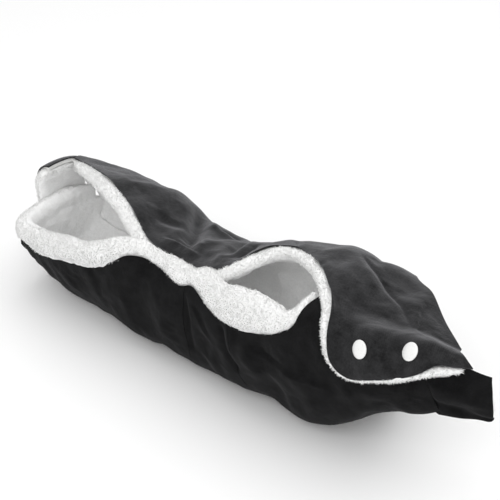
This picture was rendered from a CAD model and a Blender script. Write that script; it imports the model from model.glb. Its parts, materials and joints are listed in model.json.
"""Dresses the stroller hand muff: black cloth outside, deep white plush inside.

The muff lies on a pale floor under soft studio light, seen from the angle of the
photograph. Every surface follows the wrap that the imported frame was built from,
and cloth, plush and snaps are made finer here.
"""

from __future__ import annotations

import json
import logging
import math
from collections.abc import Callable, Sequence
from dataclasses import dataclass, field, replace
from enum import Enum
from typing import ClassVar

import bmesh
import bpy
import numpy as np
from mathutils import Matrix, Vector, noise
from mathutils.kdtree import KDTree

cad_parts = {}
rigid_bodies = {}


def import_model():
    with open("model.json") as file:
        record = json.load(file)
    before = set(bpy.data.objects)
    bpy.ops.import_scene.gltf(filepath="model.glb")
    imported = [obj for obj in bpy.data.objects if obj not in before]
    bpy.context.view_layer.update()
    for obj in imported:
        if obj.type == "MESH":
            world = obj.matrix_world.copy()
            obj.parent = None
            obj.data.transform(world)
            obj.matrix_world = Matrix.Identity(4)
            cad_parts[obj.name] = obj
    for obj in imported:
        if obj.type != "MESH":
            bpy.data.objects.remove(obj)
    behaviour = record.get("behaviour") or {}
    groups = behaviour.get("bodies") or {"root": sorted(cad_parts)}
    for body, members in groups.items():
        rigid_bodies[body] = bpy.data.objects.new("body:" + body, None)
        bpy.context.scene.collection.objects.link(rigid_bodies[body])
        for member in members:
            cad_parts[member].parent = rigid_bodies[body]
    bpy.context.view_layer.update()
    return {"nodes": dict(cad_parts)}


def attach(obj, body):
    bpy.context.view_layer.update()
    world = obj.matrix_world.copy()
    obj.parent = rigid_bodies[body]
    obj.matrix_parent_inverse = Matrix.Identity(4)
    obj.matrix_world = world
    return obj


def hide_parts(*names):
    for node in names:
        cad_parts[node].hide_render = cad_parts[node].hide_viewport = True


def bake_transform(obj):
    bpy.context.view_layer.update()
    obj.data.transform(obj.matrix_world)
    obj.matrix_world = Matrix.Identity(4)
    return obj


LOG = logging.getLogger("hand_muff")

Array = np.ndarray
Shape = bmesh.types.BMesh
Thing = bpy.types.Object
Material = bpy.types.Material
Socket = bpy.types.NodeSocket
Tree = bpy.types.ShaderNodeTree
Size = tuple[int, int]
Pair = tuple[float, float]
Triple = tuple[float, float, float]
Spots = tuple[np.ndarray, np.ndarray]
Table = tuple[tuple[float, ...], ...]
Place = Callable[[Array, Array, float], Array]


class Body(Enum):
    """The bodies of the frame that pieces ride on."""

    WRAP = "wrap"
    RIGHT_FLAP = "right_flap"
    LEFT_FLAP = "left_flap"


class Slot(Enum):
    """The record's material slots."""

    CLOTH = "black_cloth"
    PLUSH = "white_plush"
    TAPE = "black_tape"
    CAP = "white_cap"
    METAL = "bright_metal"


class Fill(Enum):
    """How full the padded pieces are."""

    SMALL_COVER = 0.3
    COVER = 0.4
    WADDING = 0.5
    LINING = 0.6
    PLUSH = 0.8


class FoldKind(Enum):
    """How a fold lifts the cloth across its line."""

    RIDGE = "ridge"
    CREASE = "crease"
    PLEAT = "pleat"


def ease(start: float, end: float, value: Array) -> Array:
    """Rise smoothly from 0 at the start to 1 at the end."""
    share = np.clip((value - start) / (end - start), 0, 1)
    return share * share * (3 - 2 * share)


def smooth_read(places: Array, values: Array, at: Array) -> Array:
    """Read a smooth curve through values, carried on straight past both ends.

    Args:
        places: Rising places of the values.
        values: The values, one for each place.
        at: Where the curve is read.

    Returns:
        The curve's value at each wanted place.
    """
    slopes = np.empty_like(values)
    slopes[0] = (values[1] - values[0]) / (places[1] - places[0])
    slopes[-1] = (values[-1] - values[-2]) / (places[-1] - places[-2])
    slopes[1:-1] = (values[2:] - values[:-2]) / (places[2:] - places[:-2])
    low = np.clip(np.searchsorted(places, at, side="right") - 1, 0, len(places) - 2)
    step = places[low + 1] - places[low]
    whole = (at - places[low]) / step
    along = np.clip(whole, 0, 1)
    square = along * along
    cube = square * along
    read = values[low] * (2 * cube - 3 * square + 1) + slopes[low] * step * (cube - 2 * square + along)
    read += values[low + 1] * (3 * square - 2 * cube) + slopes[low + 1] * step * (cube - square)
    read += np.minimum(whole, 0) * step * slopes[0] + np.maximum(whole - 1, 0) * step * slopes[-1]
    return read


def read_edge(table: Table, share: Array) -> Spots:
    """Read the places and angles of an edge by even steps of its points."""
    rows = np.array(table, float)
    knots = np.arange(len(rows), dtype=float)
    at = np.asarray(share, float) * (len(rows) - 1)
    return smooth_read(knots, rows[:, 0], at), smooth_read(knots, rows[:, 1], at)


def read_profile(profile: Table, run: Array) -> Array:
    """Read a smooth profile of sizes along a run from 0 to 1."""
    rows = np.array(profile, float)
    return smooth_read(rows[:, 0], rows[:, 1], run)


def resample(points: Array, count: int) -> Array:
    """Read a smooth line through points at even lengths."""
    lengths = np.concatenate(([0], np.cumsum(np.linalg.norm(np.diff(points[:, :3], axis=0), axis=1))))
    at = np.linspace(0, lengths[-1], count)
    return np.stack([smooth_read(lengths, points[:, axis], at) for axis in range(points.shape[1])], -1)


def relaxed(points: Array, passes: int) -> Array:
    """Even out a line of points, whose two ends stay."""
    for _ in range(passes):
        points[1:-1] = (points[:-2] + points[1:-1] * 2 + points[2:]) / 4
    return points


def unit(vectors: Array) -> Array:
    """Give vectors the length of one."""
    return vectors / np.linalg.norm(vectors, axis=-1, keepdims=True)


def square_to(vectors: Array, along: Array) -> Array:
    """Turn directions so that they stand square to others, with the length of one."""
    return unit(vectors - along * np.sum(vectors * along, -1, keepdims=True))


def to_mesh(shape: Shape, name: str) -> bpy.types.Mesh:
    """Make the mesh of a shape and free the shape."""
    mesh = bpy.data.meshes.new(name)
    shape.to_mesh(mesh)
    shape.free()
    return mesh


def hang(name: str, data: bpy.types.ID) -> Thing:
    """Make an object of a mesh, a light or a camera and link it to the scene."""
    thing = bpy.data.objects.new(name, data)
    bpy.context.scene.collection.objects.link(thing)
    return thing


def discard(thing: Thing) -> None:
    """Remove an object and its mesh."""
    mesh = thing.data
    bpy.data.objects.remove(thing)
    bpy.data.meshes.remove(mesh)


@dataclass(frozen=True)
class Fold:
    """One fold of the cloth along a line on the wrap.

    The path's points are places in shares of the half length and angles in degrees.
    Over the fade's share of its length a fold rises from nothing at each end. The
    crisp width is that of a pleat's step, and a pleat lifts both of its sides by
    its rest and parts them by its step.
    """

    path: Table
    height: float
    width: float
    kind: FoldKind = FoldKind.RIDGE
    fade: float = 0.35
    crisp: float = 0.0016
    crease_blunt: ClassVar[float] = 0.2
    crease_fall: ClassVar[float] = 1.6
    pleat_rest: ClassVar[float] = 0.275
    pleat_step: ClassVar[float] = 0.725
    pleat_fall: ClassVar[float] = 1.2

    def lift(self, along: Array, arc: Array, half: float, radius: float) -> Array:
        """Give how far the fold lifts the cloth.

        Args:
            along: Places along the muff in metres.
            arc: Lengths round the muff in metres.
            half: The muff's half length.
            radius: The mean radius that turns the path's angles into lengths.

        Returns:
            The lift at each place in metres.
        """
        line = np.array([(place * half, math.radians(angle) * radius) for place, angle in self.path])
        lengths = np.linalg.norm(np.diff(line, axis=0), axis=1)
        starts = np.concatenate(([0], np.cumsum(lengths)))
        nearest = np.full(along.shape, np.inf)
        side = np.zeros(along.shape)
        share = np.zeros(along.shape)
        for index, length in enumerate(lengths):
            way = (line[index + 1] - line[index]) / length
            from_x = along - line[index, 0]
            from_y = arc - line[index, 1]
            run = np.clip(from_x * way[0] + from_y * way[1], 0, length)
            away = np.hypot(from_x - run * way[0], from_y - run * way[1])
            nearer = away < nearest
            nearest = np.where(nearer, away, nearest)
            side = np.where(nearer, np.sign(way[0] * from_y - way[1] * from_x), side)
            share = np.where(nearer, (starts[index] + run) / starts[-1], share)
        taper = ease(0, self.fade, share) * ease(0, self.fade, 1 - share) if self.fade else 1
        spread = nearest / self.width
        if self.kind is FoldKind.RIDGE:
            shape = np.exp(-spread * spread)
        elif self.kind is FoldKind.CREASE:
            blunted = np.sqrt(spread * spread + self.crease_blunt ** 2) - self.crease_blunt
            shape = -np.exp(-blunted * self.crease_fall)
        else:
            step = self.pleat_rest + self.pleat_step * np.tanh(side * nearest / self.crisp)
            shape = step * np.exp(-spread * self.pleat_fall)
        return self.height * shape * taper


@dataclass(frozen=True)
class WrapForm:
    """The padded wrap's surface, in the sizes that the frame was built from.

    A station holds a place along the wrap in shares of the half length, its reach to
    the front and back, its under side and top as shares of the wrap's sizes, how square
    it is and how much it slopes. Edges and seams are places and angles in degrees.
    """

    half_length: float = 0.245
    front_reach: float = 0.070
    back_reach: float = 0.057
    height: float = 0.131
    slope_rise: float = 0.014
    rest_cut: float = 0.0005
    layer_thick: float = 0.0092
    lap_gap: float = 0.0020
    fold_front_x: float = 0.1180
    fold_front_y: float = -0.0380
    fold_end_x: float = 0.2225
    fold_end_y: float = -0.0195
    ramp_front_angle: float = 27
    ramp_end_angle: float = 20
    tuck_start: float = 0.385
    tuck_end: float = 0.455
    seam_angle: float = 322
    edge_step: ClassVar[float] = 0.004
    halvings: ClassVar[int] = 24
    stations: Table = (
        (-0.98, 0.74, 0.70, 0.260, 0.840, 2.2, 0.00),
        (-0.84, 0.86, 0.90, 0.070, 0.860, 2.3, 0.15),
        (-0.65, 0.94, 0.98, 0.015, 0.905, 2.4, 0.45),
        (-0.45, 0.97, 1.00, 0.000, 0.890, 2.5, 0.60),
        (-0.27, 0.97, 0.98, 0.000, 0.775, 2.6, 0.90),
        (-0.08, 0.95, 0.95, 0.000, 0.770, 2.8, 1.00),
        (0.10, 0.98, 0.96, 0.000, 0.890, 2.8, 0.70),
        (0.27, 1.00, 1.00, 0.000, 0.980, 2.6, 0.55),
        (0.43, 1.00, 1.00, 0.000, 1.020, 2.8, 0.50),
        (0.59, 0.96, 0.98, 0.115, 0.975, 3.0, 0.40),
        (0.755, 0.88, 0.90, 0.385, 0.915, 3.4, 0.20),
        (0.90, 0.77, 0.77, 0.500, 0.880, 3.5, 0.10),
        (1.04, 0.66, 0.67, 0.560, 0.865, 3.5, 0.00),
    )
    arch: Table = (
        (-0.900, 68), (-0.742, 82), (-0.565, 97), (-0.440, 107), (-0.345, 116),
        (-0.266, 123), (-0.175, 124), (-0.072, 127), (0.028, 129), (0.072, 126),
        (0.106, 116.5), (0.128, 101), (0.150, 86), (0.215, 82.5), (0.310, 91),
        (0.405, 104), (0.4816, 118),
    )
    rim: Table = (
        (-0.922, 190), (-0.741, 186), (-0.616, 179), (-0.467, 170), (-0.381, 157),
        (-0.307, 142), (-0.225, 137), (-0.067, 146), (-0.010, 144), (0.077, 157),
        (0.159, 164), (0.246, 165), (0.330, 161.5), (0.394, 155), (0.432, 147),
        (0.441, 133), (0.448, 118), (0.930, 112),
    )
    cuff_end: Table = ((0.424, 149), (0.438, 141), (0.438, 132), (0.434, 123), (0.424, 115))
    hem: Table = (
        (0.487, 118.5), (0.544, 133), (0.576, 146), (0.600, 155), (0.640, 162),
        (0.683, 164.5), (0.739, 161), (0.803, 155), (0.862, 146), (0.901, 138),
        (0.945, 134.5), (0.991, 130),
    )
    centre_seam: Table = ((-0.036, 140), (-0.020, 205), (-0.020, 322))
    right_seam: Table = ((0.140, 140), (0.226, 207), (0.330, 322))
    right_end: Table = ((0.868, 112), (0.872, 148), (0.900, 172), (0.930, 207), (0.700, 262), (0.570, 322))
    upper_left_end: Table = ((-0.900, 67), (-0.900, 52), (-0.740, 36), (-0.740, 14),
                             (-0.890, -12), (-0.890, -38))
    upper_right_end: Table = ((0.908, 107), (0.837, 92), (0.767, 78), (0.695, 65),
                              (0.607, 52), (0.580, 38), (0.570, -38))

    @property
    def lap(self) -> float:
        """How far the right flap lies over the front panel."""
        return self.layer_thick + self.lap_gap

    @property
    def radius(self) -> float:
        """The mean radius that turns angles into lengths of cloth."""
        return (self.front_reach + self.back_reach) / 2

    def arc(self, angle: Array) -> Array:
        """Turn angles round the wrap into lengths of cloth."""
        return np.radians(angle) * self.radius

    def bare(self, x: Array, angle: Array) -> Array:
        """Give points of the smooth wrap, flat where it rests."""
        rows = np.array(self.stations)
        front, back, under, top, square, slope = (
            smooth_read(rows[:, 0], rows[:, column], x / self.half_length) for column in range(1, 7))
        front = -front * self.front_reach
        back = back * self.back_reach
        under = under * self.height - self.rest_cut
        top = top * self.height
        cosine = np.cos(np.radians(angle))
        sine = np.sin(np.radians(angle))
        swell = (np.abs(cosine) ** square + np.abs(sine) ** square) ** (-1 / square)
        y = (front + back) / 2 + (back - front) / 2 * swell * cosine
        z = (under + top) / 2 + (top - under) / 2 * swell * sine
        z = z - np.where(sine > 0, slope * self.slope_rise * swell * sine * cosine, 0)
        return np.stack([x, y, np.maximum(z, 0)], -1)

    def normal(self, x: Array, angle: Array) -> Array:
        """Give the smooth wrap's outward directions."""
        step = self.half_length / 120
        along = self.bare(x + step, angle) - self.bare(x - step, angle)
        round_it = self.bare(x, angle + 2) - self.bare(x, angle - 2)
        outward = np.cross(round_it, along)
        return outward / np.linalg.norm(outward, axis=-1, keepdims=True)

    def upper(self, x: Array, angle: Array, depth: float | Array) -> Array:
        """Give points of the upper panel at a depth below its outer face."""
        return self.bare(x, angle) - self.normal(x, angle) * np.asarray(depth)[..., None]

    def crossing(self, x: Array, y: Array, low: float, high: float, rising: bool) -> Array:
        """Find the angles where the wrap crosses some places across the muff.

        Args:
            x: Places along the muff.
            y: The places across it, one for each place along it.
            low: The angle where the search starts.
            high: The angle where it ends.
            rising: Whether the place across the muff grows from the low angle to the high one.

        Returns:
            The angles.
        """
        first = np.full(x.shape, float(low))
        second = np.full(x.shape, float(high))
        for _ in range(self.halvings):
            middle = (first + second) / 2
            short = (self.bare(x, middle)[..., 1] < y) == rising
            first = np.where(short, middle, first)
            second = np.where(short, second, middle)
        return (first + second) / 2

    def edge_line(self, place: Place, table: Table,
                  share: Array) -> tuple[Array, Array, Array]:
        """Read an edge's places along the muff, its angles and its directions."""
        (before, before_angle), (x, angle), (after, after_angle) = (
            read_edge(table, share + step) for step in (-self.edge_step, 0, self.edge_step))
        along = unit(place(after * self.half_length, after_angle, 0)
                     - place(before * self.half_length, before_angle, 0))
        return x * self.half_length, angle, along

    def fold_angle(self, x: Array) -> Array:
        """Give the angles round the wrap where the right flap folds."""
        share = (x - self.fold_front_x) / (self.fold_end_x - self.fold_front_x)
        wanted = self.fold_front_y + (self.fold_end_y - self.fold_front_y) * share
        return self.crossing(x, wanted, 80, 150, False)

    def lap_share(self, x: Array, angle: Array) -> Array:
        """Give how far the right flap has risen over the front panel, from 0 to 1."""
        fold = self.fold_angle(x)
        share = np.clip((x - self.fold_front_x) / (self.fold_end_x - self.fold_front_x), 0, 1)
        ramp = self.ramp_front_angle + (self.ramp_end_angle - self.ramp_front_angle) * share
        risen = np.clip((angle - fold) / ramp, 0, 1)
        return risen * risen * (3 - 2 * risen)

    def front(self, x: Array, angle: Array, depth: float | Array) -> Array:
        """Give points of the front panel, which passes under the upper one at the right."""
        tuck = ease(self.tuck_start * self.half_length, self.tuck_end * self.half_length, x)
        sunk = self.lap * tuck * (1 - self.lap_share(x, angle))
        return self.bare(x, angle) - self.normal(x, angle) * (sunk + np.asarray(depth))[..., None]

    def flap(self, x: Array, angle: Array, depth: float | Array) -> Array:
        """Give points of the right flap, which lies over the front panel."""
        risen = self.lap * self.lap_share(x, angle)
        return self.bare(x, angle) + self.normal(x, angle) * (risen - np.asarray(depth))[..., None]


@dataclass(frozen=True)
class Waves:
    """A seeded sum of slow waves that keeps cloth from lying dead smooth."""

    seed: int = 5
    count: int = 26
    shortest: float = 0.018
    longest: float = 0.085
    height: float = 0.0011

    def lift(self, first: Array, second: Array) -> Array:
        """Give the waves' height over two lengths measured along the cloth."""
        random = np.random.default_rng(self.seed)
        total = np.zeros(first.shape)
        for _ in range(self.count):
            length = random.uniform(self.shortest, self.longest)
            turn = random.uniform(0, math.pi)
            phase = random.uniform(0, 2 * math.pi)
            run = first * math.cos(turn) + second * math.sin(turn)
            total += np.sin(2 * math.pi * run / length + phase) * (length / self.longest)
        return total * self.height / math.sqrt(self.count / 4)


@dataclass
class MeshShop:
    """Turns grids, rolls and profiles into finished mesh objects."""

    smooth_angle: float = 50
    mark_step: int = 3
    least_facing: float = -0.25
    least_upward: float = -0.45

    @staticmethod
    def grid(columns: int, rows: int) -> tuple[Shape, Array, Array]:
        """Start a flat grid of faces.

        Args:
            columns: Faces along the first direction.
            rows: Faces along the second direction.

        Returns:
            The grid, and each vertex's shares from 0 to 1 along both directions.
        """
        shape = bmesh.new()
        bmesh.ops.create_grid(shape, x_segments=columns, y_segments=rows, size=0.5)
        flat = np.array([vertex.co for vertex in shape.verts])
        return shape, flat[:, 0] + 0.5, flat[:, 1] + 0.5

    @staticmethod
    def lay(shape: Shape, points: Array, cloth: Array | None = None) -> None:
        """Move the vertices to their points and keep lengths of cloth as the UV map."""
        for vertex, point in zip(shape.verts, points):
            vertex.co = point
        if cloth is None:
            return
        layer = shape.loops.layers.uv.verify()
        shape.verts.index_update()
        for face in shape.faces:
            for loop in face.loops:
                loop[layer].uv = cloth[loop.vert.index]

    @staticmethod
    def outward(shape: Shape, hint: Array | None = None) -> None:
        """Turn the faces outward; an open sheet's first face follows the hint."""
        bmesh.ops.recalc_face_normals(shape, faces=shape.faces[:])
        shape.normal_update()
        if hint is not None:
            shape.faces.ensure_lookup_table()
            total = sum((face.normal.dot(Vector(hint)) * face.calc_area() for face in shape.faces))
            if total < 0:
                bmesh.ops.reverse_faces(shape, faces=shape.faces[:])
        elif shape.calc_volume(signed=True) < 0:
            bmesh.ops.reverse_faces(shape, faces=shape.faces[:])
        shape.normal_update()

    def finish(self, shape: Shape, name: str, material: Material) -> Thing:
        """Make the object of a finished shape and free the shape."""
        mesh = to_mesh(shape, name)
        mesh.materials.append(material)
        mesh.shade_smooth()
        mesh.set_sharp_from_angle(angle=math.radians(self.smooth_angle))
        return hang(name, mesh)

    @staticmethod
    def apply(thing: Thing) -> None:
        """Apply every modifier of an object."""
        bpy.context.view_layer.update()
        graph = bpy.context.evaluated_depsgraph_get()
        mesh = bpy.data.meshes.new_from_object(thing.evaluated_get(graph), depsgraph=graph)
        old = thing.data
        thing.modifiers.clear()
        thing.data = mesh
        mesh.name = thing.name
        bpy.data.meshes.remove(old)

    def merge(self, shapes: Sequence[Shape], voxel: float, passes: int) -> Shape:
        """Grow overlapping soft shapes into one, with its hollows softened.

        Args:
            shapes: The shapes, which are freed.
            voxel: The size of the new skin's faces.
            passes: How often the skin is smoothed.

        Returns:
            The one closed shape.
        """
        whole = bmesh.new()
        for shape in shapes:
            mesh = to_mesh(shape, "soft_part")
            whole.from_mesh(mesh)
            bpy.data.meshes.remove(mesh)
        thing = hang("soft_whole", to_mesh(whole, "soft_whole"))
        skin = thing.modifiers.new("skin", "REMESH")
        skin.mode = "VOXEL"
        skin.voxel_size = voxel
        soften = thing.modifiers.new("soften", "SMOOTH")
        soften.factor = 0.5
        soften.iterations = passes
        self.apply(thing)
        merged = bmesh.new()
        merged.from_mesh(thing.data)
        discard(thing)
        self.outward(merged)
        return merged

    def mark_bare(self, shape: Shape, rolls: Sequence["Roll"], reach: float) -> None:
        """Mark the outward side of a skin along some rolls as bare, where tufts may grow.

        Args:
            shape: The skin.
            rolls: The rolls that it grew round.
            reach: How far from a roll's line the skin may lie.
        """
        layer = shape.verts.layers.float.new("bare")
        lines, outward = (np.concatenate([getattr(roll, part)[::self.mark_step] for roll in rolls])
                          for part in ("centres", "upward"))
        tree = KDTree(len(lines))
        for index, point in enumerate(lines):
            tree.insert(Vector(point), index)
        tree.balance()
        shape.normal_update()
        for vertex in shape.verts:
            _, index, away = tree.find(vertex.co)
            facing = vertex.normal.dot(Vector(outward[index]))
            vertex[layer] = float(away < reach and facing > self.least_facing
                                  and vertex.normal.z > self.least_upward)


def feed(tree: bpy.types.NodeTree, value: object, socket: Socket) -> None:
    """Set a socket to a plain value or link another socket to it."""
    if isinstance(value, Socket):
        tree.links.new(value, socket)
    else:
        socket.default_value = value


def math_node(tree: bpy.types.NodeTree, operation: str, *values: object) -> Socket:
    """Add a math node fed by sockets or plain values."""
    node = tree.nodes.new("ShaderNodeMath")
    node.operation = operation
    for value, socket in zip(values, node.inputs):
        feed(tree, value, socket)
    return node.outputs[0]


class NodeGroups:
    """Builds the shader node groups that several finishes share."""

    def __init__(self) -> None:
        """Build every group once."""
        self.weave = self._weave()
        self.clumps = self._clumps()
        self.mottle = self._mottle()

    @staticmethod
    def _group(name: str, inputs: dict[str, float],
               outputs: Sequence[str]) -> tuple[Tree, dict[str, Socket]]:
        """Start a group with value inputs, a vector input and value outputs."""
        tree = bpy.data.node_groups.new(name, "ShaderNodeTree")
        tree.interface.new_socket(name="Vector", in_out="INPUT", socket_type="NodeSocketVector")
        for label, value in inputs.items():
            socket = tree.interface.new_socket(name=label, in_out="INPUT", socket_type="NodeSocketFloat")
            socket.default_value = value
        for label in outputs:
            tree.interface.new_socket(name=label, in_out="OUTPUT", socket_type="NodeSocketFloat")
        given = tree.nodes.new("NodeGroupInput")
        result = tree.nodes.new("NodeGroupOutput")
        sockets = {label: given.outputs[label] for label in ("Vector", *inputs)}
        sockets.update({f"out {label}": result.inputs[label] for label in outputs})
        return tree, sockets

    @staticmethod
    def _noise(tree: Tree, vector: Socket,
               **values: object) -> Socket:
        """Add a noise texture whose inputs are sockets or plain values."""
        node = tree.nodes.new("ShaderNodeTexNoise")
        tree.links.new(vector, node.inputs["Vector"])
        for label, value in values.items():
            feed(tree, value, node.inputs[label])
        return node.outputs[0]

    def _weave(self) -> Tree:
        """Build a plain weave: threads over and under along both ways of the cloth."""
        tree, sockets = self._group("woven_threads", {"Threads": 1400}, ("Height", "Tone"))
        split = tree.nodes.new("ShaderNodeSeparateXYZ")
        tree.links.new(sockets["Vector"], split.inputs[0])
        waves = []
        for index in (0, 1):
            turn = math_node(tree, "MULTIPLY", split.outputs[index], sockets["Threads"])
            waves.append(math_node(tree, "SINE", math_node(tree, "MULTIPLY", turn, math.pi)))
        crossing = math_node(tree, "MULTIPLY", *waves)
        uneven = self._noise(tree, sockets["Vector"], Scale=640, Detail=3)
        tree.links.new(math_node(tree, "MULTIPLY_ADD", crossing, 0.5, 0.5), sockets["out Height"])
        tree.links.new(math_node(tree, "MULTIPLY_ADD", uneven, 0.7, 0.15), sockets["out Tone"])
        return tree

    def _clumps(self) -> Tree:
        """Build the clumped fibres of a deep pile."""
        tree, sockets = self._group("pile_clumps", {"Size": 0.003}, ("Height", "Hollow"))
        size = math_node(tree, "DIVIDE", 1, sockets["Size"])
        coarse = self._noise(tree, sockets["Vector"], Scale=size, Detail=4, Roughness=0.65)
        cells = tree.nodes.new("ShaderNodeTexVoronoi")
        tree.links.new(sockets["Vector"], cells.inputs["Vector"])
        tree.links.new(math_node(tree, "MULTIPLY", size, 1.7), cells.inputs["Scale"])
        away = cells.outputs["Distance"]
        tree.links.new(math_node(tree, "MULTIPLY_ADD", away, -0.6, coarse), sockets["out Height"])
        tree.links.new(math_node(tree, "MULTIPLY", away, 0.9), sockets["out Hollow"])
        return tree

    def _mottle(self) -> Tree:
        """Build the slow unevenness of handled cloth."""
        tree, sockets = self._group("handled_cloth", {"Scale": 60}, ("Value",))
        slow = self._noise(tree, sockets["Vector"], Scale=sockets["Scale"], Detail=5, Roughness=0.6)
        tree.links.new(slow, sockets["out Value"])
        return tree


@dataclass(frozen=True)
class Finish:
    """A finish with its own shader; the base of all others."""

    name: str
    colour: Triple
    roughness: float

    def start(self, values: dict[str, object] | None = None
              ) -> tuple[Material, Tree, bpy.types.Node]:
        """Start the material and set its plain values."""
        material = bpy.data.materials.new(self.name)
        material.use_nodes = True
        tree = material.node_tree
        shader = tree.nodes["Principled BSDF"]
        plain = {"Base Color": (*self.colour, 1), "Roughness": self.roughness}
        for label, value in (plain | (values or {})).items():
            shader.inputs[label].default_value = value
        return material, tree, shader

    @staticmethod
    def spot(tree: Tree) -> Socket:
        """Give the place on the object."""
        return tree.nodes.new("ShaderNodeTexCoord").outputs["Object"]

    @staticmethod
    def place(tree: Tree, group: Tree, source: Socket,
              **values: float) -> bpy.types.Node:
        """Place a shared group with its own values."""
        node = tree.nodes.new("ShaderNodeGroup")
        node.node_tree = group
        tree.links.new(source, node.inputs["Vector"])
        for label, value in values.items():
            node.inputs[label].default_value = value
        return node

    @staticmethod
    def ramp(tree: Tree, source: Socket, dark: Sequence[float],
             light: Sequence[float], low: float = 0.3, high: float = 0.7) -> Socket:
        """Turn a value into a colour between two colours."""
        node = tree.nodes.new("ShaderNodeValToRGB")
        for element, place, colour in zip(node.color_ramp.elements, (low, high), (dark, light)):
            element.position = place
            element.color = (*colour, 1)
        tree.links.new(source, node.inputs[0])
        return node.outputs[0]

    @staticmethod
    def bump(tree: Tree, height: Socket, distance: float,
             strength: float, below: Socket | None = None) -> Socket:
        """Turn a height into a normal."""
        node = tree.nodes.new("ShaderNodeBump")
        node.inputs["Strength"].default_value = strength
        node.inputs["Distance"].default_value = distance
        tree.links.new(height, node.inputs["Height"])
        if below is not None:
            tree.links.new(below, node.inputs["Normal"])
        return node.outputs[0]


@dataclass(frozen=True)
class ClothFinish(Finish):
    """Matt woven polyester with a faint bloom where it turns to the light."""

    light: Triple = (0.034, 0.034, 0.036)
    threads: float = 1300
    sheen: float = 0.35

    def make(self, groups: NodeGroups) -> Material:
        """Make the cloth's material."""
        material, tree, shader = self.start({
            "Sheen Weight": self.sheen, "Sheen Roughness": 0.45, "Sheen Tint": (0.75, 0.75, 0.78, 1),
            "Specular IOR Level": 0.1})
        cloth = tree.nodes.new("ShaderNodeUVMap")
        weave = self.place(tree, groups.weave, cloth.outputs[0], Threads=self.threads)
        mottle = self.place(tree, groups.mottle, self.spot(tree), Scale=110)
        mixed = math_node(tree, "MULTIPLY_ADD", weave.outputs["Tone"], 0.70, mottle.outputs["Value"])
        colour = self.ramp(tree, mixed, self.colour, self.light, 0.62, 1.12)
        tree.links.new(colour, shader.inputs["Base Color"])
        fine = self.bump(tree, weave.outputs["Height"], 0.0003, 0.5)
        rough = self.bump(tree, mottle.outputs["Value"], 0.0016, 0.45, fine)
        tree.links.new(rough, shader.inputs["Normal"])
        return material


@dataclass(frozen=True)
class PlushFinish(Finish):
    """Deep white pile whose clumps shade each other."""

    hollow: Triple = (0.87, 0.87, 0.865)
    size: float = 0.003

    def make(self, groups: NodeGroups) -> Material:
        """Make the plush's material."""
        material, tree, shader = self.start({
            "Subsurface Weight": 0.3, "Subsurface Radius": (1, 1, 1), "Subsurface Scale": 0.003,
            "Sheen Weight": 0.3, "Sheen Roughness": 0.6, "Specular IOR Level": 0.1})
        clumps = self.place(tree, groups.clumps, self.spot(tree), Size=self.size)
        colour = self.ramp(tree, clumps.outputs["Hollow"], self.colour, self.hollow, 0.25, 0.95)
        tree.links.new(colour, shader.inputs["Base Color"])
        tree.links.new(self.bump(tree, clumps.outputs["Height"], 0.0010, 0.45), shader.inputs["Normal"])
        return material


@dataclass(frozen=True)
class TapeFinish(Finish):
    """Woven binding tape with a coarse rib."""

    def make(self, groups: NodeGroups) -> Material:
        """Make the tape's material."""
        material, tree, shader = self.start()
        weave = self.place(tree, groups.weave, self.spot(tree), Threads=800)
        colour = self.ramp(tree, weave.outputs["Tone"], self.colour, (0.05, 0.05, 0.052))
        tree.links.new(colour, shader.inputs["Base Color"])
        tree.links.new(self.bump(tree, weave.outputs["Height"], 0.0004, 0.6), shader.inputs["Normal"])
        return material


@dataclass(frozen=True)
class CapFinish(Finish):
    """Glossy white enamel with a little handling wear."""

    def make(self, groups: NodeGroups) -> Material:
        """Make the cap's material."""
        material, tree, shader = self.start({"Coat Weight": 0.4, "Coat Roughness": 0.1})
        mottle = self.place(tree, groups.mottle, self.spot(tree), Scale=900)
        colour = self.ramp(tree, mottle.outputs["Value"], (0.74, 0.74, 0.73), self.colour, 0.3, 0.5)
        tree.links.new(colour, shader.inputs["Base Color"])
        tree.links.new(self.bump(tree, mottle.outputs["Value"], 0.0001, 0.2), shader.inputs["Normal"])
        return material


@dataclass(frozen=True)
class MetalFinish(Finish):
    """Bright nickel of the snap's hidden parts."""

    def make(self, groups: NodeGroups) -> Material:
        """Make the metal's material."""
        material, tree, shader = self.start({"Metallic": 1})
        mottle = self.place(tree, groups.mottle, self.spot(tree), Scale=1500)
        tree.links.new(self.ramp(tree, mottle.outputs["Value"], (0.55, 0.55, 0.57), self.colour),
                       shader.inputs["Base Color"])
        return material


@dataclass
class Wardrobe:
    """Every material of the muff, made once."""

    groups: NodeGroups = field(default_factory=NodeGroups)

    def __post_init__(self) -> None:
        """Make the materials."""
        self.upper_cloth = ClothFinish("upper_cloth", (0.0045, 0.0045, 0.0048), 0.8, light=(0.023, 0.023, 0.024),
                                       sheen=0.45).make(self.groups)
        self.front_cloth = ClothFinish("front_cloth", (0.0022, 0.0022, 0.0024), 0.8,
                                       light=(0.0074, 0.0074, 0.0078), sheen=0.05).make(self.groups)
        self.plush = PlushFinish("white_plush", (0.94, 0.94, 0.935), 1.0).make(self.groups)
        self.tape = TapeFinish("black_tape", (0.022, 0.022, 0.024), 0.9).make(self.groups)
        self.cap = CapFinish("white_cap", (0.84, 0.84, 0.83), 0.22).make(self.groups)
        self.metal = MetalFinish("bright_metal", (0.75, 0.75, 0.77), 0.28).make(self.groups)
        self.loose = PlushFinish("loose_wadding", (0.80, 0.80, 0.78), 1.0, size=0.006).make(self.groups)


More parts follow.
